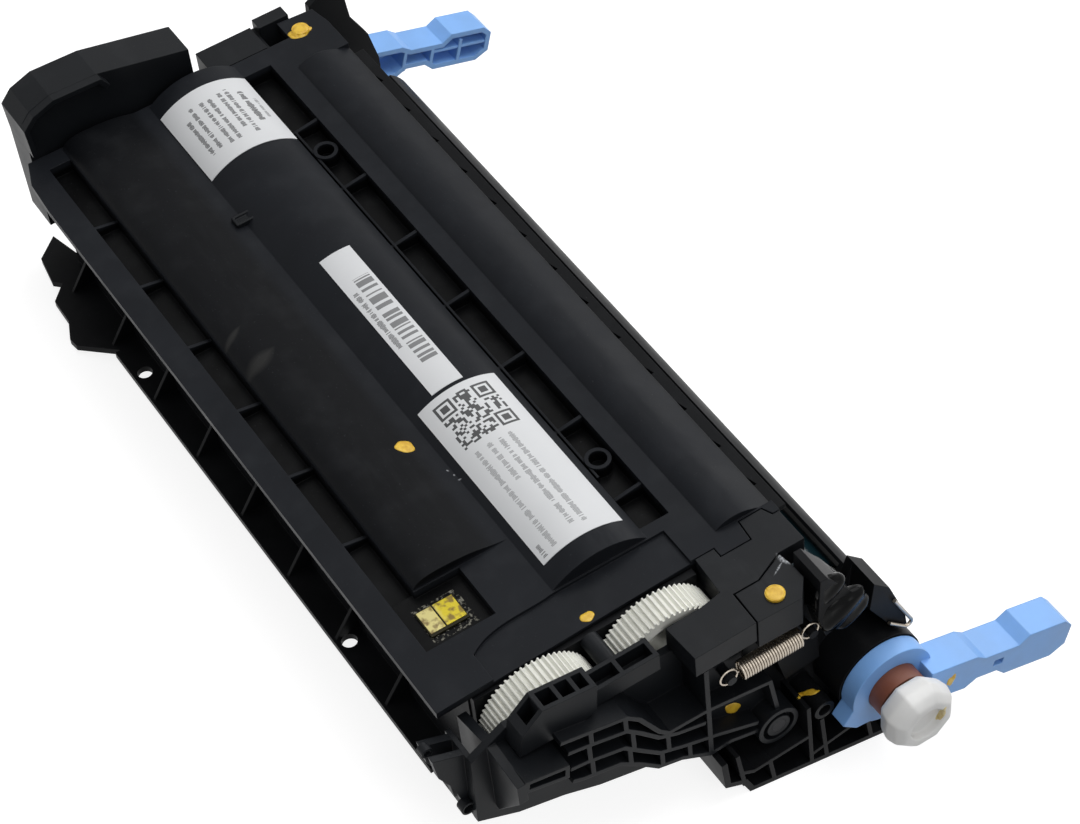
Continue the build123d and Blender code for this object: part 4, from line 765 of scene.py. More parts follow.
ROLLER_BLACK = Moulding("roller_black", srgb(26, 26, 28), 0.6, dust=0.05, gloss=0.3)
FOAM_GREY = Moulding("foam_grey", srgb(80, 80, 82), 0.85, dust=0.0, grain=0.9, gloss=0.1)
DRUM_COAT = Moulding("drum_coat", srgb(16, 36, 42), 0.2, edge=0.1, dust=0.0, grain=0.02, gloss=0.3)
BLADE_AMBER = Moulding("blade_amber", srgb(160, 110, 60), 0.4, dust=0.0)
FILM = Moulding("film", srgb(110, 114, 112), 0.25, edge=0.05, dust=0.0)
CHIP_BOARD = Moulding("chip_board_dark", srgb(36, 33, 18), 0.4, edge=0.03, dust=0.05, gloss=0.1)
STEEL = Metal("turned_steel", srgb(185, 187, 190), 0.28)
DARK_STEEL = Metal("blackened_steel", srgb(48, 48, 50), 0.5)
SHEET_STEEL = Metal("sheet_steel", srgb(170, 172, 174), 0.36)
SPRING_STEEL = Metal("spring_steel_wire", srgb(196, 186, 172), 0.3, (2.0, 2.0, 2.0))
GOLD = WornGold("worn_gold", srgb(190, 172, 22), 0.42)
YELLOW_PAINT = Paint("yellow_paint", srgb(226, 186, 52))
PALE_PAINT = Paint("pale_paint", srgb(226, 208, 150))
FAR_LABEL = LabelStock("far_label_print", (
    PrintLine(-20.0, -1.5, 43.3, height=1.6), PrintLine(-24.5, -2.0, 46.4), PrintLine(-24.0, -0.5, 50.4),
    PrintLine(-24.0, -1.0, 53.4), PrintLine(-24.5, -5.0, 57.4), PrintLine(-25.5, -1.0, 60.2),
    PrintLine(-23.0, -5.5, 64.4, height=2.4, ink=0.95), PrintLine(-18.5, -7.5, 67.6, height=1.2, ink=0.6)))
BAR_LABEL = LabelStock("bar_label_print", (PrintLine(82.5, 111.0, 48.5, height=1.9, ink=0.75),),
                       bars=(77.5, 120.5, 50.6, 56.4))
CODE_LABEL = LabelStock("code_label_print", (
    PrintLine(160.0, 203.5, 45.6, height=1.9, ink=0.5), PrintLine(160.0, 177.0, 50.0, height=1.9, ink=0.5),
    PrintLine(160.0, 200.5, 53.7, height=1.9, ink=0.55), PrintLine(160.0, 202.0, 57.4, height=1.9, ink=0.55),
    PrintLine(199.5, 204.5, 41.8, height=1.5, ink=0.7)), tiles=(137.4, 43.6, 19.6))

FINISHES = {
    LID_BLACK: ("hopper_lid",),
    BLACK: ("gear_cover", "near_corner_block", "screw_block", "far_end_cover", "far_corner_block"),
    DEEP_BLACK: ("hopper_tub", "near_bearing_plate", "far_bearing_plate", "drum_frame",
                 "near_drum_plate", "far_drum_plate", "drum_shutter"),
    YELLOW_PAINT: ("plate_screws",),
    FAR_LABEL: ("far_label",),
    BAR_LABEL: ("bar_label",),
    CODE_LABEL: ("code_label",),
    BLADE_AMBER: ("cleaning_blade",),
    SHEET_STEEL: ("doctor_blade", "doctor_blade_holder", "blade_bracket"),
    FILM: ("bin_seal", "agitator_film_1", "agitator_film_2"),
    BUSH_BROWN: ("brown_bush",),
    SPRING_STEEL: ("near_lever_spring",),
    DARK_STEEL: ("near_pivot_pin", "far_pivot_pin"),
    DRUM_COAT: ("drum_tube",),
    HUB_WHITE: ("drive_coupling", "far_drum_flange"),
    GEAR_WHITE: ("near_drum_flange", "developer_gear", "supply_gear", "side_idler_gear",
                 "middle_idler_gear", "agitator_gear_1", "agitator_gear_2"),
    STEEL: ("charge_shaft", "developer_shaft", "supply_roller_shaft", "agitator_shaft_1",
            "agitator_shaft_2"),
    ROLLER_BLACK: ("charge_rubber", "developer_sleeve"),
    FOAM_GREY: ("supply_roller_foam",),
    LEVER_BLUE: ("near_lever", "far_lever"),
}


@cache
def material_of(finish: object) -> bpy.types.Material:
    """Material of a finish, built the first time that it is asked for."""
    return finish.material()


def dress_nodes() -> None:
    """Give every CAD node that shows its own finish."""
    for finish, names in FINISHES.items():
        for name in names:
            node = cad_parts[name]
            node.data.materials.clear()
            node.data.materials.append(material_of(finish))
            LOG.info("%s: %s", name, finish.name)


# Mesh making

# Sides of round wire, steps in one turn of it, and sides of tubes and of larger rounds
WIRE_SIDES = 10
STEPS_PER_TURN = 20
TUBE_SIDES = 32
ROUND_SIDES = 40


def deselect() -> None:
    """Leave nothing selected."""
    bpy.ops.object.select_all(action="DESELECT")


def take(piece: bpy.types.Object) -> None:
    """Select one piece alone and make it the active one.

    Args:
        piece: The piece.
    """
    deselect()
    piece.select_set(True)
    bpy.context.view_layer.objects.active = piece


def named(name: str) -> bpy.types.Object:
    """Name the piece that was just made.

    Args:
        name: Its name.

    Returns:
        The piece.
    """
    piece = bpy.context.active_object
    piece.name = name
    return piece


def lay_on_plate(piece: bpy.types.Object) -> None:
    """Bake a piece that was made in plate millimetres into its place, with its object at the origin."""
    piece.data.transform(FROM_PLATE @ piece.matrix_world)
    piece.matrix_world = Matrix.Identity(4)


def apply_modifiers(piece: bpy.types.Object) -> None:
    """Apply every modifier of a piece.

    Args:
        piece: The piece.
    """
    take(piece)
    for modifier in list(piece.modifiers):
        bpy.ops.object.modifier_apply(modifier=modifier.name)


def soften(piece: bpy.types.Object, width: float, segments: int = 2) -> bpy.types.Modifier:
    """Round the edges of a piece once its modifiers are applied.

    Args:
        piece: The piece.
        width: How far the round reaches from an edge.
        segments: Faces across the round.

    Returns:
        The modifier.
    """
    soft = piece.modifiers.new("soft", "BEVEL")
    soft.width = width
    soft.segments = segments
    return soft


def clean_mesh(piece: bpy.types.Object, merge: float = 1e-4) -> None:
    """Merge doubles and turn the faces outwards.

    Args:
        piece: The piece.
        merge: Distance under which corners are one, in the piece's own unit, or 0 to merge none.
    """
    take(piece)
    bpy.ops.object.mode_set(mode="EDIT")
    bpy.ops.mesh.select_all(action="SELECT")
    if merge:
        bpy.ops.mesh.remove_doubles(threshold=merge)
    bpy.ops.mesh.normals_make_consistent(inside=False)
    bpy.ops.object.mode_set(mode="OBJECT")


def join(pieces: Sequence[bpy.types.Object], name: str) -> bpy.types.Object:
    """Join pieces into one.

    Args:
        pieces: The pieces, of which the first is kept.
        name: Name of the result.

    Returns:
        The joined piece.
    """
    take(pieces[0])
    for piece in pieces:
        piece.select_set(True)
    bpy.ops.object.join()
    return named(name)


def facing(place: Sequence[float], way: Vector, up: str = "X") -> Matrix:
    """Matrix that turns z to a direction and then moves to a place."""
    return Matrix.Translation(place) @ way.to_track_quat("Z", up).to_matrix().to_4x4()


def dress(piece: bpy.types.Object, finish: object, body: Body | None) -> None:
    """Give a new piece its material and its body.

    Args:
        piece: The piece.
        finish: Its finish.
        body: The body that it rides on, or nothing for a piece that goes between two.
    """
    piece.data.materials.clear()
    piece.data.materials.append(material_of(finish))
    if body:
        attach(piece, body.value)
    LOG.info("%s: %d faces", piece.name, len(piece.data.polygons))


def wire_coil(centre: Vector, axis: Vector, coil_radius: float, wire_radius: float, turns: float,
              length: float) -> bpy.types.Object:
    """Coil of round wire: a small ring, swept round and along by a screw.

    Args:
        centre: Where the coil starts, on its axis, on the plate.
        axis: Direction of the coil.
        coil_radius: Radius to the middle of the wire.
        wire_radius: Radius of the wire.
        turns: Number of turns.
        length: Length of the coil along its axis.

    Returns:
        The coil, in plate millimetres.
    """
    deselect()
    bpy.ops.mesh.primitive_circle_add(vertices=WIRE_SIDES, radius=wire_radius, fill_type="NGON",
                                      location=(coil_radius, 0.0, 0.0),
                                      rotation=(math.pi / 2, 0.0, 0.0))
    coil = named("coil")
    bpy.ops.object.transform_apply(location=True, rotation=True, scale=True)
    screw = coil.modifiers.new("screw", "SCREW")
    screw.axis = "Z"
    screw.angle = 2 * math.pi * turns
    screw.screw_offset = length
    screw.steps = int(STEPS_PER_TURN * turns)
    screw.render_steps = screw.steps
    apply_modifiers(coil)
    coil.data.transform(facing(centre, axis))
    return coil


def surface_of(*nodes: str) -> BVHTree:
    """Search tree of CAD nodes or finished pieces, in the rest frame.

    Args:
        nodes: Their names.

    Returns:
        The tree.
    """
    points: list[Vector] = []
    faces: list[tuple[int, ...]] = []
    for name in nodes:
        mesh = bpy.data.objects[name].data
        start = len(points)
        points.extend(vertex.co.copy() for vertex in mesh.vertices)
        faces.extend(tuple(start + corner for corner in face.vertices) for face in mesh.polygons)
    return BVHTree.FromPolygons(points, faces)


# Sub-assemblies


@dataclass
class TensionSpring:
    """Coil spring between the two units, with a loop round a post at each end.

    Attributes:
        station: Where it lies along x.
        left: Left post across the plate, as y and z.
        right: Right post.
        radius: Outer radius of the coil.
        wire: Diameter of the wire.
        turns: Number of turns.
        ring: Radius of a loop, to the middle of the wire.
        loop_to_coil: From the middle of a loop to the first turn.
    """

    station: float = 256.8
    left: tuple[float, float] = (69.0, -20.0)
    right: tuple[float, float] = (98.0, -20.5)
    radius: float = 3.2
    wire: float = 0.8
    turns: int = 24
    ring: float = 3.0
    loop_to_coil: float = 3.9

    def build(self) -> None:
        """Build the coil and its loops in place of the plain solid."""
        left = Vector((self.station, *self.left))
        right = Vector((self.station, *self.right))
        along = (right - left).normalized()
        start = self.loop_to_coil
        length = (right - left).length - 2 * start
        parts = [wire_coil(left + along * start, along, self.radius - self.wire / 2, self.wire / 2,
                           self.turns, length)]
        for centre in (left, right):
            parts.append(wire_coil(centre, Vector(ALONG), self.ring, self.wire / 2, 1.0, 0.0))
        for centre, way in ((left, 1), (right, -1)):
            deselect()
            bpy.ops.mesh.primitive_cylinder_add(vertices=WIRE_SIDES, radius=self.wire / 2,
                                                depth=start - self.ring + self.wire)
            stem = named("stem")
            stem.data.transform(facing(centre + along * way * (self.ring + start) / 2, along))
            parts.append(stem)
        spring = join(parts, "coil_spring")
        clean_mesh(spring)
        lay_on_plate(spring)
        spring.data.shade_smooth()
        dress(spring, SPRING_STEEL, None)
        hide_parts("tension_spring")
        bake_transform(spring)


@dataclass
class ContactChip:
    """Memory chip with two gold contacts on a small board.

    Attributes:
        far: Far end of the board along x.
        left: Left side of the board along y.
        base: Underside of the board.
        length: Length along x.
        width: Width along y.
        thick: Thickness of the board.
        contacts: Left and right side of each contact, from the board's left side.
        far_rim: From the board's far end to the contacts.
        near_rim: From the contacts to the board's near end.
        sunk: How far the contacts go into the board.
        raised: How far they stand above it.
        board_edge: How far the round on the board's edges reaches.
        contact_edge: The same on a contact.
    """

    far: float = 195.6
    left: float = 1.2
    base: float = -3.2
    length: float = 10.2
    width: float = 13.0
    thick: float = 0.75
    contacts: tuple[tuple[float, float], ...] = ((0.4, 5.4), (5.9, 12.6))
    far_rim: float = 0.4
    near_rim: float = 1.0
    sunk: float = 0.1
    raised: float = 0.22
    board_edge: float = 0.15
    contact_edge: float = 0.12

    def block(self, name: str, low: Point, high: Point, bevel: float) -> bpy.types.Object:
        """Box with rounded edges between two corners, in plate millimetres.

        Args:
            name: Its name.
            low: Its lowest corner.
            high: Its highest corner.
            bevel: How far the round reaches from an edge.

        Returns:
            The box.
        """
        deselect()
        middle = [(a + b) / 2 for a, b in zip(low, high)]
        bpy.ops.mesh.primitive_cube_add(size=1.0, location=middle,
                                        scale=[b - a for a, b in zip(low, high)])
        part = named(name)
        bpy.ops.object.transform_apply(location=True, rotation=True, scale=True)
        soften(part, bevel)
        apply_modifiers(part)
        return part

    def build(self) -> None:
        """Build board and contacts in place of the plain solid."""
        top = self.base + self.thick
        near = self.far + self.length
        board = self.block("chip_base", (self.far, self.left, self.base),
                           (near, self.left + self.width, top), self.board_edge)
        lay_on_plate(board)
        dress(board, CHIP_BOARD, Body.TONER_UNIT)
        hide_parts("memory_chip")
        pads = [self.block("pad", (self.far + self.far_rim, self.left + low, top - self.sunk),
                           (near - self.near_rim, self.left + high, top + self.raised), self.contact_edge)
                for low, high in self.contacts]
        contacts = join(pads, "chip_contacts")
        lay_on_plate(contacts)
        dress(contacts, GOLD, Body.TONER_UNIT)


@dataclass(frozen=True)
class Lobe:
    """One lobe of the boot.

    Attributes:
        centre: Its middle on the plate.
        size: Half its length along x, y and z.
        bend: Point, as y and z, round which its folds run.
        pitch: Distance between two folds.
        depth: Depth of the folds.
    """

    centre: Point
    size: Point
    bend: tuple[float, float]
    pitch: float
    depth: float


@dataclass
class SpringBoot:
    """Glossy folded boot on the arm of the drum unit's end plate, beside the spring.

    Attributes:
        lobes: Its lobes.
        cuts: Cuts across each side of the cube that a lobe starts from.
        roundness: How far that cube is made a ball, 0 to 1.
        reach: Distance from its middle that counts as one, once it is rounded.
    """

    lobes: tuple[Lobe, ...] = (
        Lobe((258.2, 109.0, -17.0), (3.2, 8.6, 7.6), (122.0, -36.0), 6.4, 0.4),
        Lobe((253.8, 100.9, -8.6), (4.8, 1.9, 7.4), (108.0, 2.0), 8.0, 0.2),
        Lobe((257.0, 104.8, -5.0), (2.6, 5.4, 5.4), (112.0, -14.0), 5.5, 0.25))
    cuts: int = 13
    roundness: float = 0.86
    reach: float = 1.24

    def lobe(self, form: Lobe) -> bpy.types.Object:
        """Round one lobe off and lay its folds in it.

        Args:
            form: The lobe.

        Returns:
            The lobe, in plate millimetres.
        """
        deselect()
        bpy.ops.mesh.primitive_cube_add(size=2.0)
        lobe = named("lobe")
        bpy.ops.object.mode_set(mode="EDIT")
        bpy.ops.mesh.select_all(action="SELECT")
        bpy.ops.mesh.subdivide(number_cuts=self.cuts)
        bpy.ops.transform.tosphere(value=self.roundness)
        bpy.ops.object.mode_set(mode="OBJECT")
        size = Matrix.Diagonal(form.size)
        for vertex in lobe.data.vertices:
            unit = vertex.co / self.reach
            place = Vector(form.centre) + size @ unit
            wave = math.cos(2 * math.pi * (place.yz - Vector(form.bend)).length / form.pitch)
            vertex.co = place + unit.normalized() * form.depth * wave
        smooth = lobe.modifiers.new("smooth", "SUBSURF")
        smooth.levels = 1
        smooth.render_levels = 1
        apply_modifiers(lobe)
        return lobe

    def build(self) -> None:
        """Build the lobes as one piece."""
        boot = join([self.lobe(form) for form in self.lobes], "spring_boot")
        clean_mesh(boot)
        lay_on_plate(boot)
        boot.data.shade_smooth()
        dress(boot, GLOSS_BLACK, Body.DRUM_UNIT)


@dataclass
class GrooveCatch:
    """Small catch that stands in the groove between the two bulges.

    Attributes:
        centre: Its middle on the plate.
        length: Size along x.
        width: Size along y.
        height: How far it stands up.
        rim: Width of the rim round the hollow in its top.
        hollow: Depth of that hollow.
        edge: How far the round on its edges reaches.
    """

    centre: Point = (27.9, 37.9, 0.3)
    length: float = 4.6
    width: float = 7.6
    height: float = 3.4
    rim: float = 1.0
    hollow: float = 0.8
    edge: float = 0.35

    def build(self) -> None:
        """Build the catch with a hollow in its top."""
        deselect()
        bpy.ops.mesh.primitive_cube_add(size=1.0, location=self.centre,
                                        scale=(self.length, self.width, self.height))
        catch = named("groove_catch")
        bpy.ops.object.transform_apply(location=True, rotation=True, scale=True)
        bpy.ops.object.mode_set(mode="EDIT")
        bpy.ops.mesh.select_all(action="DESELECT")
        bpy.ops.object.mode_set(mode="OBJECT")
        for face in catch.data.polygons:
            face.select = face.normal.z > 0.9
        bpy.ops.object.mode_set(mode="EDIT")
        bpy.ops.mesh.inset(thickness=self.rim)
        bpy.ops.mesh.extrude_region_move(TRANSFORM_OT_translate={"value": (0.0, 0.0, -self.hollow)})
        bpy.ops.object.mode_set(mode="OBJECT")
        soften(catch, self.edge)
        apply_modifiers(catch)
        clean_mesh(catch)
        lay_on_plate(catch)
        dress(catch, BLACK, Body.TONER_UNIT)


@dataclass
class DriveHub:
    """White hub on the drum's end: an octagon, drawn in at both ends, with a recessed face.

    Attributes:
        far: Where it starts along x.
        near: Its outer face.
        stations: Share of its length, and distance across the flats there, halved.
        bore: Radius of the recess in its face.
        depth: Depth of that recess.
        worn: How far the worn round reaches from an edge.
        sharp: Angle in degrees from which an edge is worn round.
        smooth: Angle in degrees up to which faces are shaded as one.
    """

    far: float = 274.6
    near: float = 286.0
    stations: tuple[tuple[float, float], ...] = (
        (0.0, 8.9), (0.16, 10.4), (0.5, 11.3), (0.8, 10.5), (1.0, 8.2))
    bore: float = 6.0
    depth: float = 3.0
    worn: float = 0.7
    sharp: float = 12.0
    smooth: float = 30.0

    def barrel(self) -> bpy.types.Object:
        """Draw an octagon out from station to station, along z.

        Returns:
            The barrel, with its far end at the origin.
        """
        deselect()
        half_side = math.pi / 8
        bpy.ops.mesh.primitive_circle_add(vertices=8, radius=self.stations[0][1] / math.cos(half_side),
                                          fill_type="NGON", rotation=(0.0, 0.0, half_side))
        barrel = named("drive_hub")
        bpy.ops.object.transform_apply(location=True, rotation=True, scale=True)
        bpy.ops.object.mode_set(mode="EDIT")
        bpy.ops.mesh.select_all(action="SELECT")
        for (last, before), (share, flat) in zip(self.stations, self.stations[1:]):
            step = (share - last) * (self.near - self.far)
            bpy.ops.mesh.extrude_region_move(TRANSFORM_OT_translate={"value": (0.0, 0.0, step)})
            bpy.ops.transform.resize(value=(flat / before, flat / before, 1.0))
        bpy.ops.object.mode_set(mode="OBJECT")
        clean_mesh(barrel)
        return barrel

    def build(self) -> None:
        """Build the hub in place of the plain solid."""
        hub = self.barrel()
        deselect()
        bpy.ops.mesh.primitive_cylinder_add(vertices=ROUND_SIDES, radius=self.bore, depth=2 * self.depth,
                                            location=(0.0, 0.0, self.near - self.far))
        cutter = named("hub_cutter")
        cut = hub.modifiers.new("socket", "BOOLEAN")
        cut.operation = "DIFFERENCE"
        cut.object = cutter
        soften(hub, self.worn, segments=3).angle_limit = math.radians(self.sharp)
        apply_modifiers(hub)
        bpy.data.objects.remove(cutter)
        clean_mesh(hub)
        hub.data.transform(facing((self.far, DRUM_Y, DRUM_Z), Vector(ALONG), "Y"))
        lay_on_plate(hub)
        take(hub)
        bpy.ops.object.shade_smooth_by_angle(angle=math.radians(self.smooth))
        dress(hub, HUB_WHITE, Body.DRUM)
        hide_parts("drive_coupling")


@dataclass
class LeverWeb:
    """Web along the open side of the far lever's grip, which splits its pockets into two rows.

    Attributes:
        start: Nearer end along the lever, from the drum's axis.
        end: Farther end.
        low: Lower side across the lever.
        high: Upper side.
        slope: Slope of the lever, in degrees.
        deep: Bottom of the web along x.
        rim: Free edge of the web along x.
        edge: How far the round on its edges reaches.
    """

    start: float = 41.0
    end: float = 64.6
    low: float = 0.6
    high: float = 1.8
    slope: float = -17.0
    deep: float = -77.0
    rim: float = -66.6
    edge: float = 0.2

    def build(self) -> None:
        """Build the web."""
        deselect()
        bpy.ops.mesh.primitive_cube_add(size=1.0)
        web = named("far_lever_web")
        corners = ((self.deep, self.start, self.low), (self.rim, self.end, self.high))
        low, high = (Vector(corner) for corner in corners)
        lever = Matrix.Translation((0.0, DRUM_Y, DRUM_Z)) @ Matrix.Rotation(math.radians(self.slope), 4, "X")
        web.data.transform(lever @ Matrix.Translation((low + high) / 2)
                           @ Matrix.Diagonal((*(high - low), 1.0)))
        soften(web, self.edge)
        apply_modifiers(web)
        lay_on_plate(web)
        dress(web, LEVER_BLUE, Body.FAR_LEVER)


@dataclass
class TubeEnds:
    """Two short open tube ends on the outer side of the gear cover, low at its left.

    Attributes:
        tubes: Middle of each on the face that it stands on, and its outer radius.
        wall: Thickness of their walls.
        reach: How far they stand out.
        root: How far they go into the cover.
    """

    tubes: tuple[tuple[Point, float], ...] = (((241.9, -13.2, -31.2), 2.5), ((235.4, -20.0, -5.1), 1.8))
    wall: float = 0.7
    reach: float = 2.4
    root: float = 0.6

    def build(self) -> None:
        """Build both tubes as one piece."""
        tubes = []
        for (x, y, z), radius in self.tubes:
            deselect()
            bpy.ops.mesh.primitive_cylinder_add(vertices=TUBE_SIDES, radius=radius,
                                                depth=self.reach + self.root, end_fill_type="NOTHING",
                                                rotation=(0.0, math.pi / 2, 0.0),
                                                location=(x + (self.reach - self.root) / 2, y, z))
            tube = named("tube")
            bpy.ops.object.transform_apply(location=True, rotation=True, scale=True)
            wall = tube.modifiers.new("wall", "SOLIDIFY")
            wall.thickness = self.wall
            wall.offset = -1.0
            apply_modifiers(tube)
            tubes.append(tube)
        ends = join(tubes, "gear_cover_tube_ends")
        clean_mesh(ends)
        lay_on_plate(ends)
        dress(ends, BLACK, Body.TONER_UNIT)


@dataclass(frozen=True)
class Dab:
    """A dab of paint.

    Attributes:
        name: Name of the piece.
        centre: Its middle, a little off the surface, in plate millimetres.
        aim: Direction in which it meets the surface, on the plate.
        length: Half its length.
        width: Half its width.
        along: Direction of its length, on the plate.
        body: Body that it rides on.
        nodes: CAD nodes or pieces that carry it.
        uneven: How far its edge strays from an oval.
        finish: Its paint.
        thick: How far its middle stands above its edge.
        rim: How far its edge stands above the surface.
        skin: Thickness of its solid layer.
        rings: Number of rings of faces in it.
        ringed: Share of its radius that the rings take up.
        drop: Farthest that the surface may lie from where the paint starts.
    """

    name: str
    centre: Point
    aim: Point
    length: float
    width: float
    along: Point
    body: Body
    nodes: tuple[str, ...]
    uneven: float = 0.1
    finish: Paint = YELLOW_PAINT
    thick: float = 0.16
    rim: float = 0.02
    skin: float = 0.12
    rings: int = 5
    ringed: float = 0.85
    drop: float = 20.0

    def disc(self) -> bpy.types.Object:
        """Make a flat disc of rings with a radius of one.

        Returns:
            The disc.
        """
        deselect()
        bpy.ops.mesh.primitive_circle_add(vertices=ROUND_SIDES, radius=1.0, fill_type="NGON")
        disc = named(self.name)
        bpy.ops.object.mode_set(mode="EDIT")
        bpy.ops.mesh.select_all(action="SELECT")
        for _ in range(self.rings):
            bpy.ops.mesh.inset(thickness=self.ringed / self.rings)
        bpy.ops.mesh.poke()
        bpy.ops.object.mode_set(mode="OBJECT")
        return disc

    def wave(self, bearing: float) -> float:
        """Share of the oval's radius that the edge keeps in one direction."""
        stray = 0.6 * math.sin(3 * bearing + len(self.name)) + 0.4 * math.sin(5 * bearing + 1.7)
        return 1 + self.uneven * stray

    def build(self) -> None:
        """Lay an uneven round of paint on the surface."""
        dab = self.disc()
        aim = Vector(self.aim).normalized()
        along = Vector(self.along)
        along = (along - aim * along.dot(aim)).normalized()
        turn = Matrix((along, along.cross(aim), -aim)).transposed().to_4x4()
        place = FROM_PLATE @ Matrix.Translation(self.centre) @ turn
        tree = surface_of(*self.nodes)
        world_aim = (FROM_PLATE.to_3x3() @ aim).normalized()
        for vertex in dab.data.vertices:
            x, y = vertex.co.xy
            wave = self.wave(math.atan2(y, x))
            start = place @ Vector((x * self.length * wave, y * self.width * wave, 0.0))
            hit = tree.ray_cast(start, world_aim, self.drop * MILLIMETRE)[0]
            height = self.thick * (1 - vertex.co.xy.length ** 4) + self.rim
            vertex.co = (hit or start) - world_aim * height * MILLIMETRE
        skin = dab.modifiers.new("skin", "SOLIDIFY")
        skin.thickness = self.skin * MILLIMETRE
        skin.offset = -1.0
        apply_modifiers(dab)
        clean_mesh(dab, merge=0.0)
        dab.data.shade_smooth()
        dress(dab, self.finish, self.body)


DABS = (
    Dab("bulge_dab", (142.6, 30.4, 8.0), DOWN, 3.0, 2.5, (0.7, 0.7, 0.0), Body.TONER_UNIT, ("hopper_lid",)),
    Dab("edge_dab", (226.9, 41.1, 5.0), DOWN, 1.7, 2.3, ALONG, Body.TONER_UNIT, ("hopper_lid",)),
    Dab("far_dab", (-40.1, 97.2, 5.0), DOWN, 4.3, 2.6, (0.1, 1.0, 0.0), Body.TONER_UNIT,
        ("hopper_lid", "plate_screws", "far_corner_block")),
    Dab("block_dab", (252.9, 88.8, 5.0), DOWN, 2.9, 2.9, ALONG, Body.TONER_UNIT,
        ("screw_block", "plate_screws"), uneven=0.04),
    Dab("ear_dab", (258.3, 69.5, -36.1), INTO_VIEW, 2.4, 1.7, RISING_VIEW, Body.TONER_UNIT,
        ("gear_cover",)),
    Dab("frame_mark", (261.7, 94.3, -45.2), INTO_VIEW, 3.6, 0.8, RISING_VIEW, Body.DRUM_UNIT,
        ("near_drum_plate",), uneven=0.25),
    Dab("lever_dab", (285.0, 137.2, -58.2), (-1.0, 0.0, 0.0), 2.3, 1.5, (0.0, 0.6, 1.0),
        Body.NEAR_LEVER, ("near_lever",), uneven=0.2),
    Dab("hub_dab", (290.4, 122.4, -46.3), INTO_VIEW, 2.3, 0.9, (0.1, 0.4, 1.0), Body.DRUM,
        ("drive_hub",), uneven=0.2, finish=PALE_PAINT, thick=0.35),
)


# Studio


def seen_rays(graph: Graph) -> object:
    """Mask of the rays that show the background: straight, mirrored or through glass."""
    path = graph.node("LightPath")
    return graph.either([path.outputs[f"Is {kind} Ray"] for kind in ("Camera", "Glossy", "Transmission")])


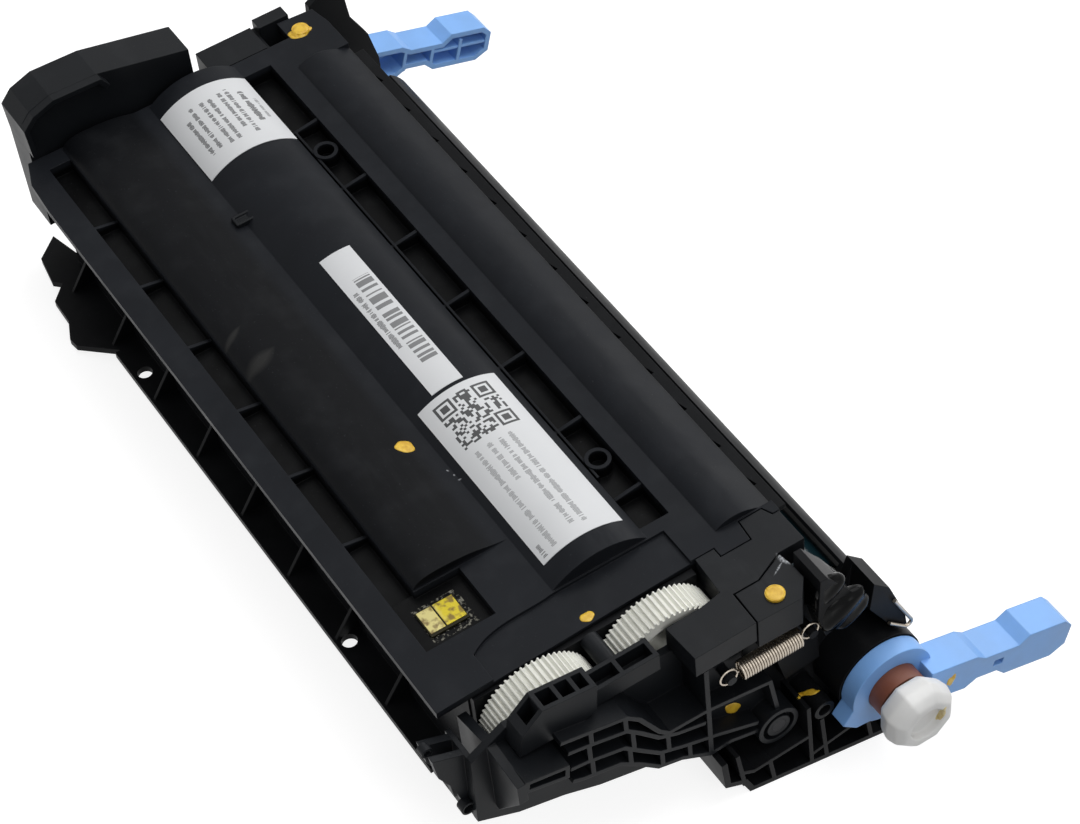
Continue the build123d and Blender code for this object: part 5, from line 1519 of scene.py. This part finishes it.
@dataclass
class Studio:
    """Pale floor, soft lamps and the camera.

    Attributes:
        eye: Where the camera stands, in metres.
        right: The picture's right in the room.
        ahead: Where the camera looks.
        lens: Its focal length on a 36 mm wide sensor.
        floor_size: Side of the floor.
        floor_tone: How pale the floor is to the light.
        floor_glow: What is added where the floor is seen, so that it is white there.
        sky_low: Light from the horizon.
        sky_high: Light from overhead.
    """

    eye: Point = (0.58075, -0.43834, 0.68683)
    right: Point = (0.5370, 0.8365, 0.1091)
    ahead: Point = (-0.5806, 0.4603, -0.6716)
    lens: float = 100.0
    floor_size: float = 12.0
    floor_tone: float = 0.35
    floor_glow: float = 0.85
    sky_low: float = 0.08
    sky_high: float = 0.5

    def place_camera(self) -> None:
        """Stand the camera where the photographer stood."""
        ahead = Vector(self.ahead).normalized()
        right = Vector(self.right)
        right = (right - ahead * right.dot(ahead)).normalized()
        turn = Matrix((right, right.cross(ahead), -ahead)).transposed().to_4x4()
        data = bpy.data.cameras.new("camera")
        data.lens = self.lens
        data.sensor_width = 36.0
        data.sensor_fit = "HORIZONTAL"
        data.clip_start = 0.01
        data.clip_end = 20.0
        camera = bpy.data.objects.new("camera", data)
        camera.matrix_world = Matrix.Translation(self.eye) @ turn
        bpy.context.scene.collection.objects.link(camera)
        bpy.context.scene.camera = camera

    def lamp(self, name: str, spot: Point, aim: Point, size: float, watts: float) -> None:
        """Hang a square soft lamp.

        Args:
            name: Its name.
            spot: Where it hangs.
            aim: Where it points.
            size: Its side.
            watts: Its power.
        """
        data = bpy.data.lights.new(name, "AREA")
        data.size = size
        data.energy = watts
        lamp = bpy.data.objects.new(name, data)
        way = Vector(aim) - Vector(spot)
        lamp.matrix_world = Matrix.Translation(spot) @ way.to_track_quat("-Z", "Y").to_matrix().to_4x4()
        bpy.context.scene.collection.objects.link(lamp)

    def floor(self) -> None:
        """Lay the pale floor."""
        deselect()
        bpy.ops.mesh.primitive_plane_add(size=self.floor_size, location=(0.0, 0.0, 0.0))
        floor = named("floor")
        material = bpy.data.materials.new("floor_white")
        material.use_nodes = True
        graph = Graph(material.node_tree)
        shader = material.node_tree.nodes["Principled BSDF"]
        shader.inputs["Base Color"].default_value = (self.floor_tone,) * 3 + (1.0,)
        shader.inputs["Roughness"].default_value = 0.9
        shader.inputs["Specular IOR Level"].default_value = 0.1
        glow = graph.node("Emission", {"Color": (1.0, 1.0, 1.0, 1.0), "Strength": self.floor_glow})
        both = graph.node("AddShader", {0: shader.outputs[0], 1: glow.outputs[0]})
        mixed = graph.node("MixShader", {0: seen_rays(graph), 1: shader.outputs[0], 2: both.outputs[0]})
        graph.wire(mixed.outputs[0], material.node_tree.nodes["Material Output"].inputs["Surface"])
        floor.data.materials.append(material)

    def sky(self) -> None:
        """White room where it is seen, and a light from above for everything else."""
        world = bpy.data.worlds.new("studio")
        bpy.context.scene.world = world
        world.use_nodes = True
        graph = Graph(world.node_tree)
        height = graph.node("SeparateXYZ", {0: graph.node("TexCoord").outputs["Generated"]}).outputs["Z"]
        above = graph.ramp(height, 0.0, 0.9, self.sky_low, self.sky_high)
        seen = seen_rays(graph)
        lit = graph.product(above, graph.math("SUBTRACT", 1.0, seen))
        background = world.node_tree.nodes["Background"]
        background.inputs[0].default_value = (1.0, 1.0, 1.0, 1.0)
        graph.wire(graph.math("ADD", lit, seen), background.inputs[1])

    def build(self) -> None:
        """Set up the studio."""
        bpy.context.scene.view_settings.view_transform = "Standard"
        self.place_camera()
        self.floor()
        self.sky()
        self.lamp("overhead", spot=(-0.1, 0.2, 1.4), aim=(0.0, 0.0, 0.0), size=1.2, watts=11.0)
        self.lamp("side", spot=(1.3, -0.2, 1.1), aim=(0.0, 0.0, 0.05), size=0.7, watts=4.5)
        self.lamp("back", spot=(-0.5, 1.1, 0.9), aim=(0.0, 0.0, 0.05), size=0.7, watts=4.5)


def main() -> None:
    """Build the studio, dress the frame and add the fine pieces."""
    logging.basicConfig(level=logging.INFO)
    for builder in (build_plate_group, build_grain_group, build_dust_group):
        builder()
    Studio().build()
    dress_nodes()
    for piece in (TensionSpring(), ContactChip(), SpringBoot(), GrooveCatch(), DriveHub(), LeverWeb(),
                  TubeEnds(), *DABS):
        piece.build()


if __name__ == "__main__":
    main()
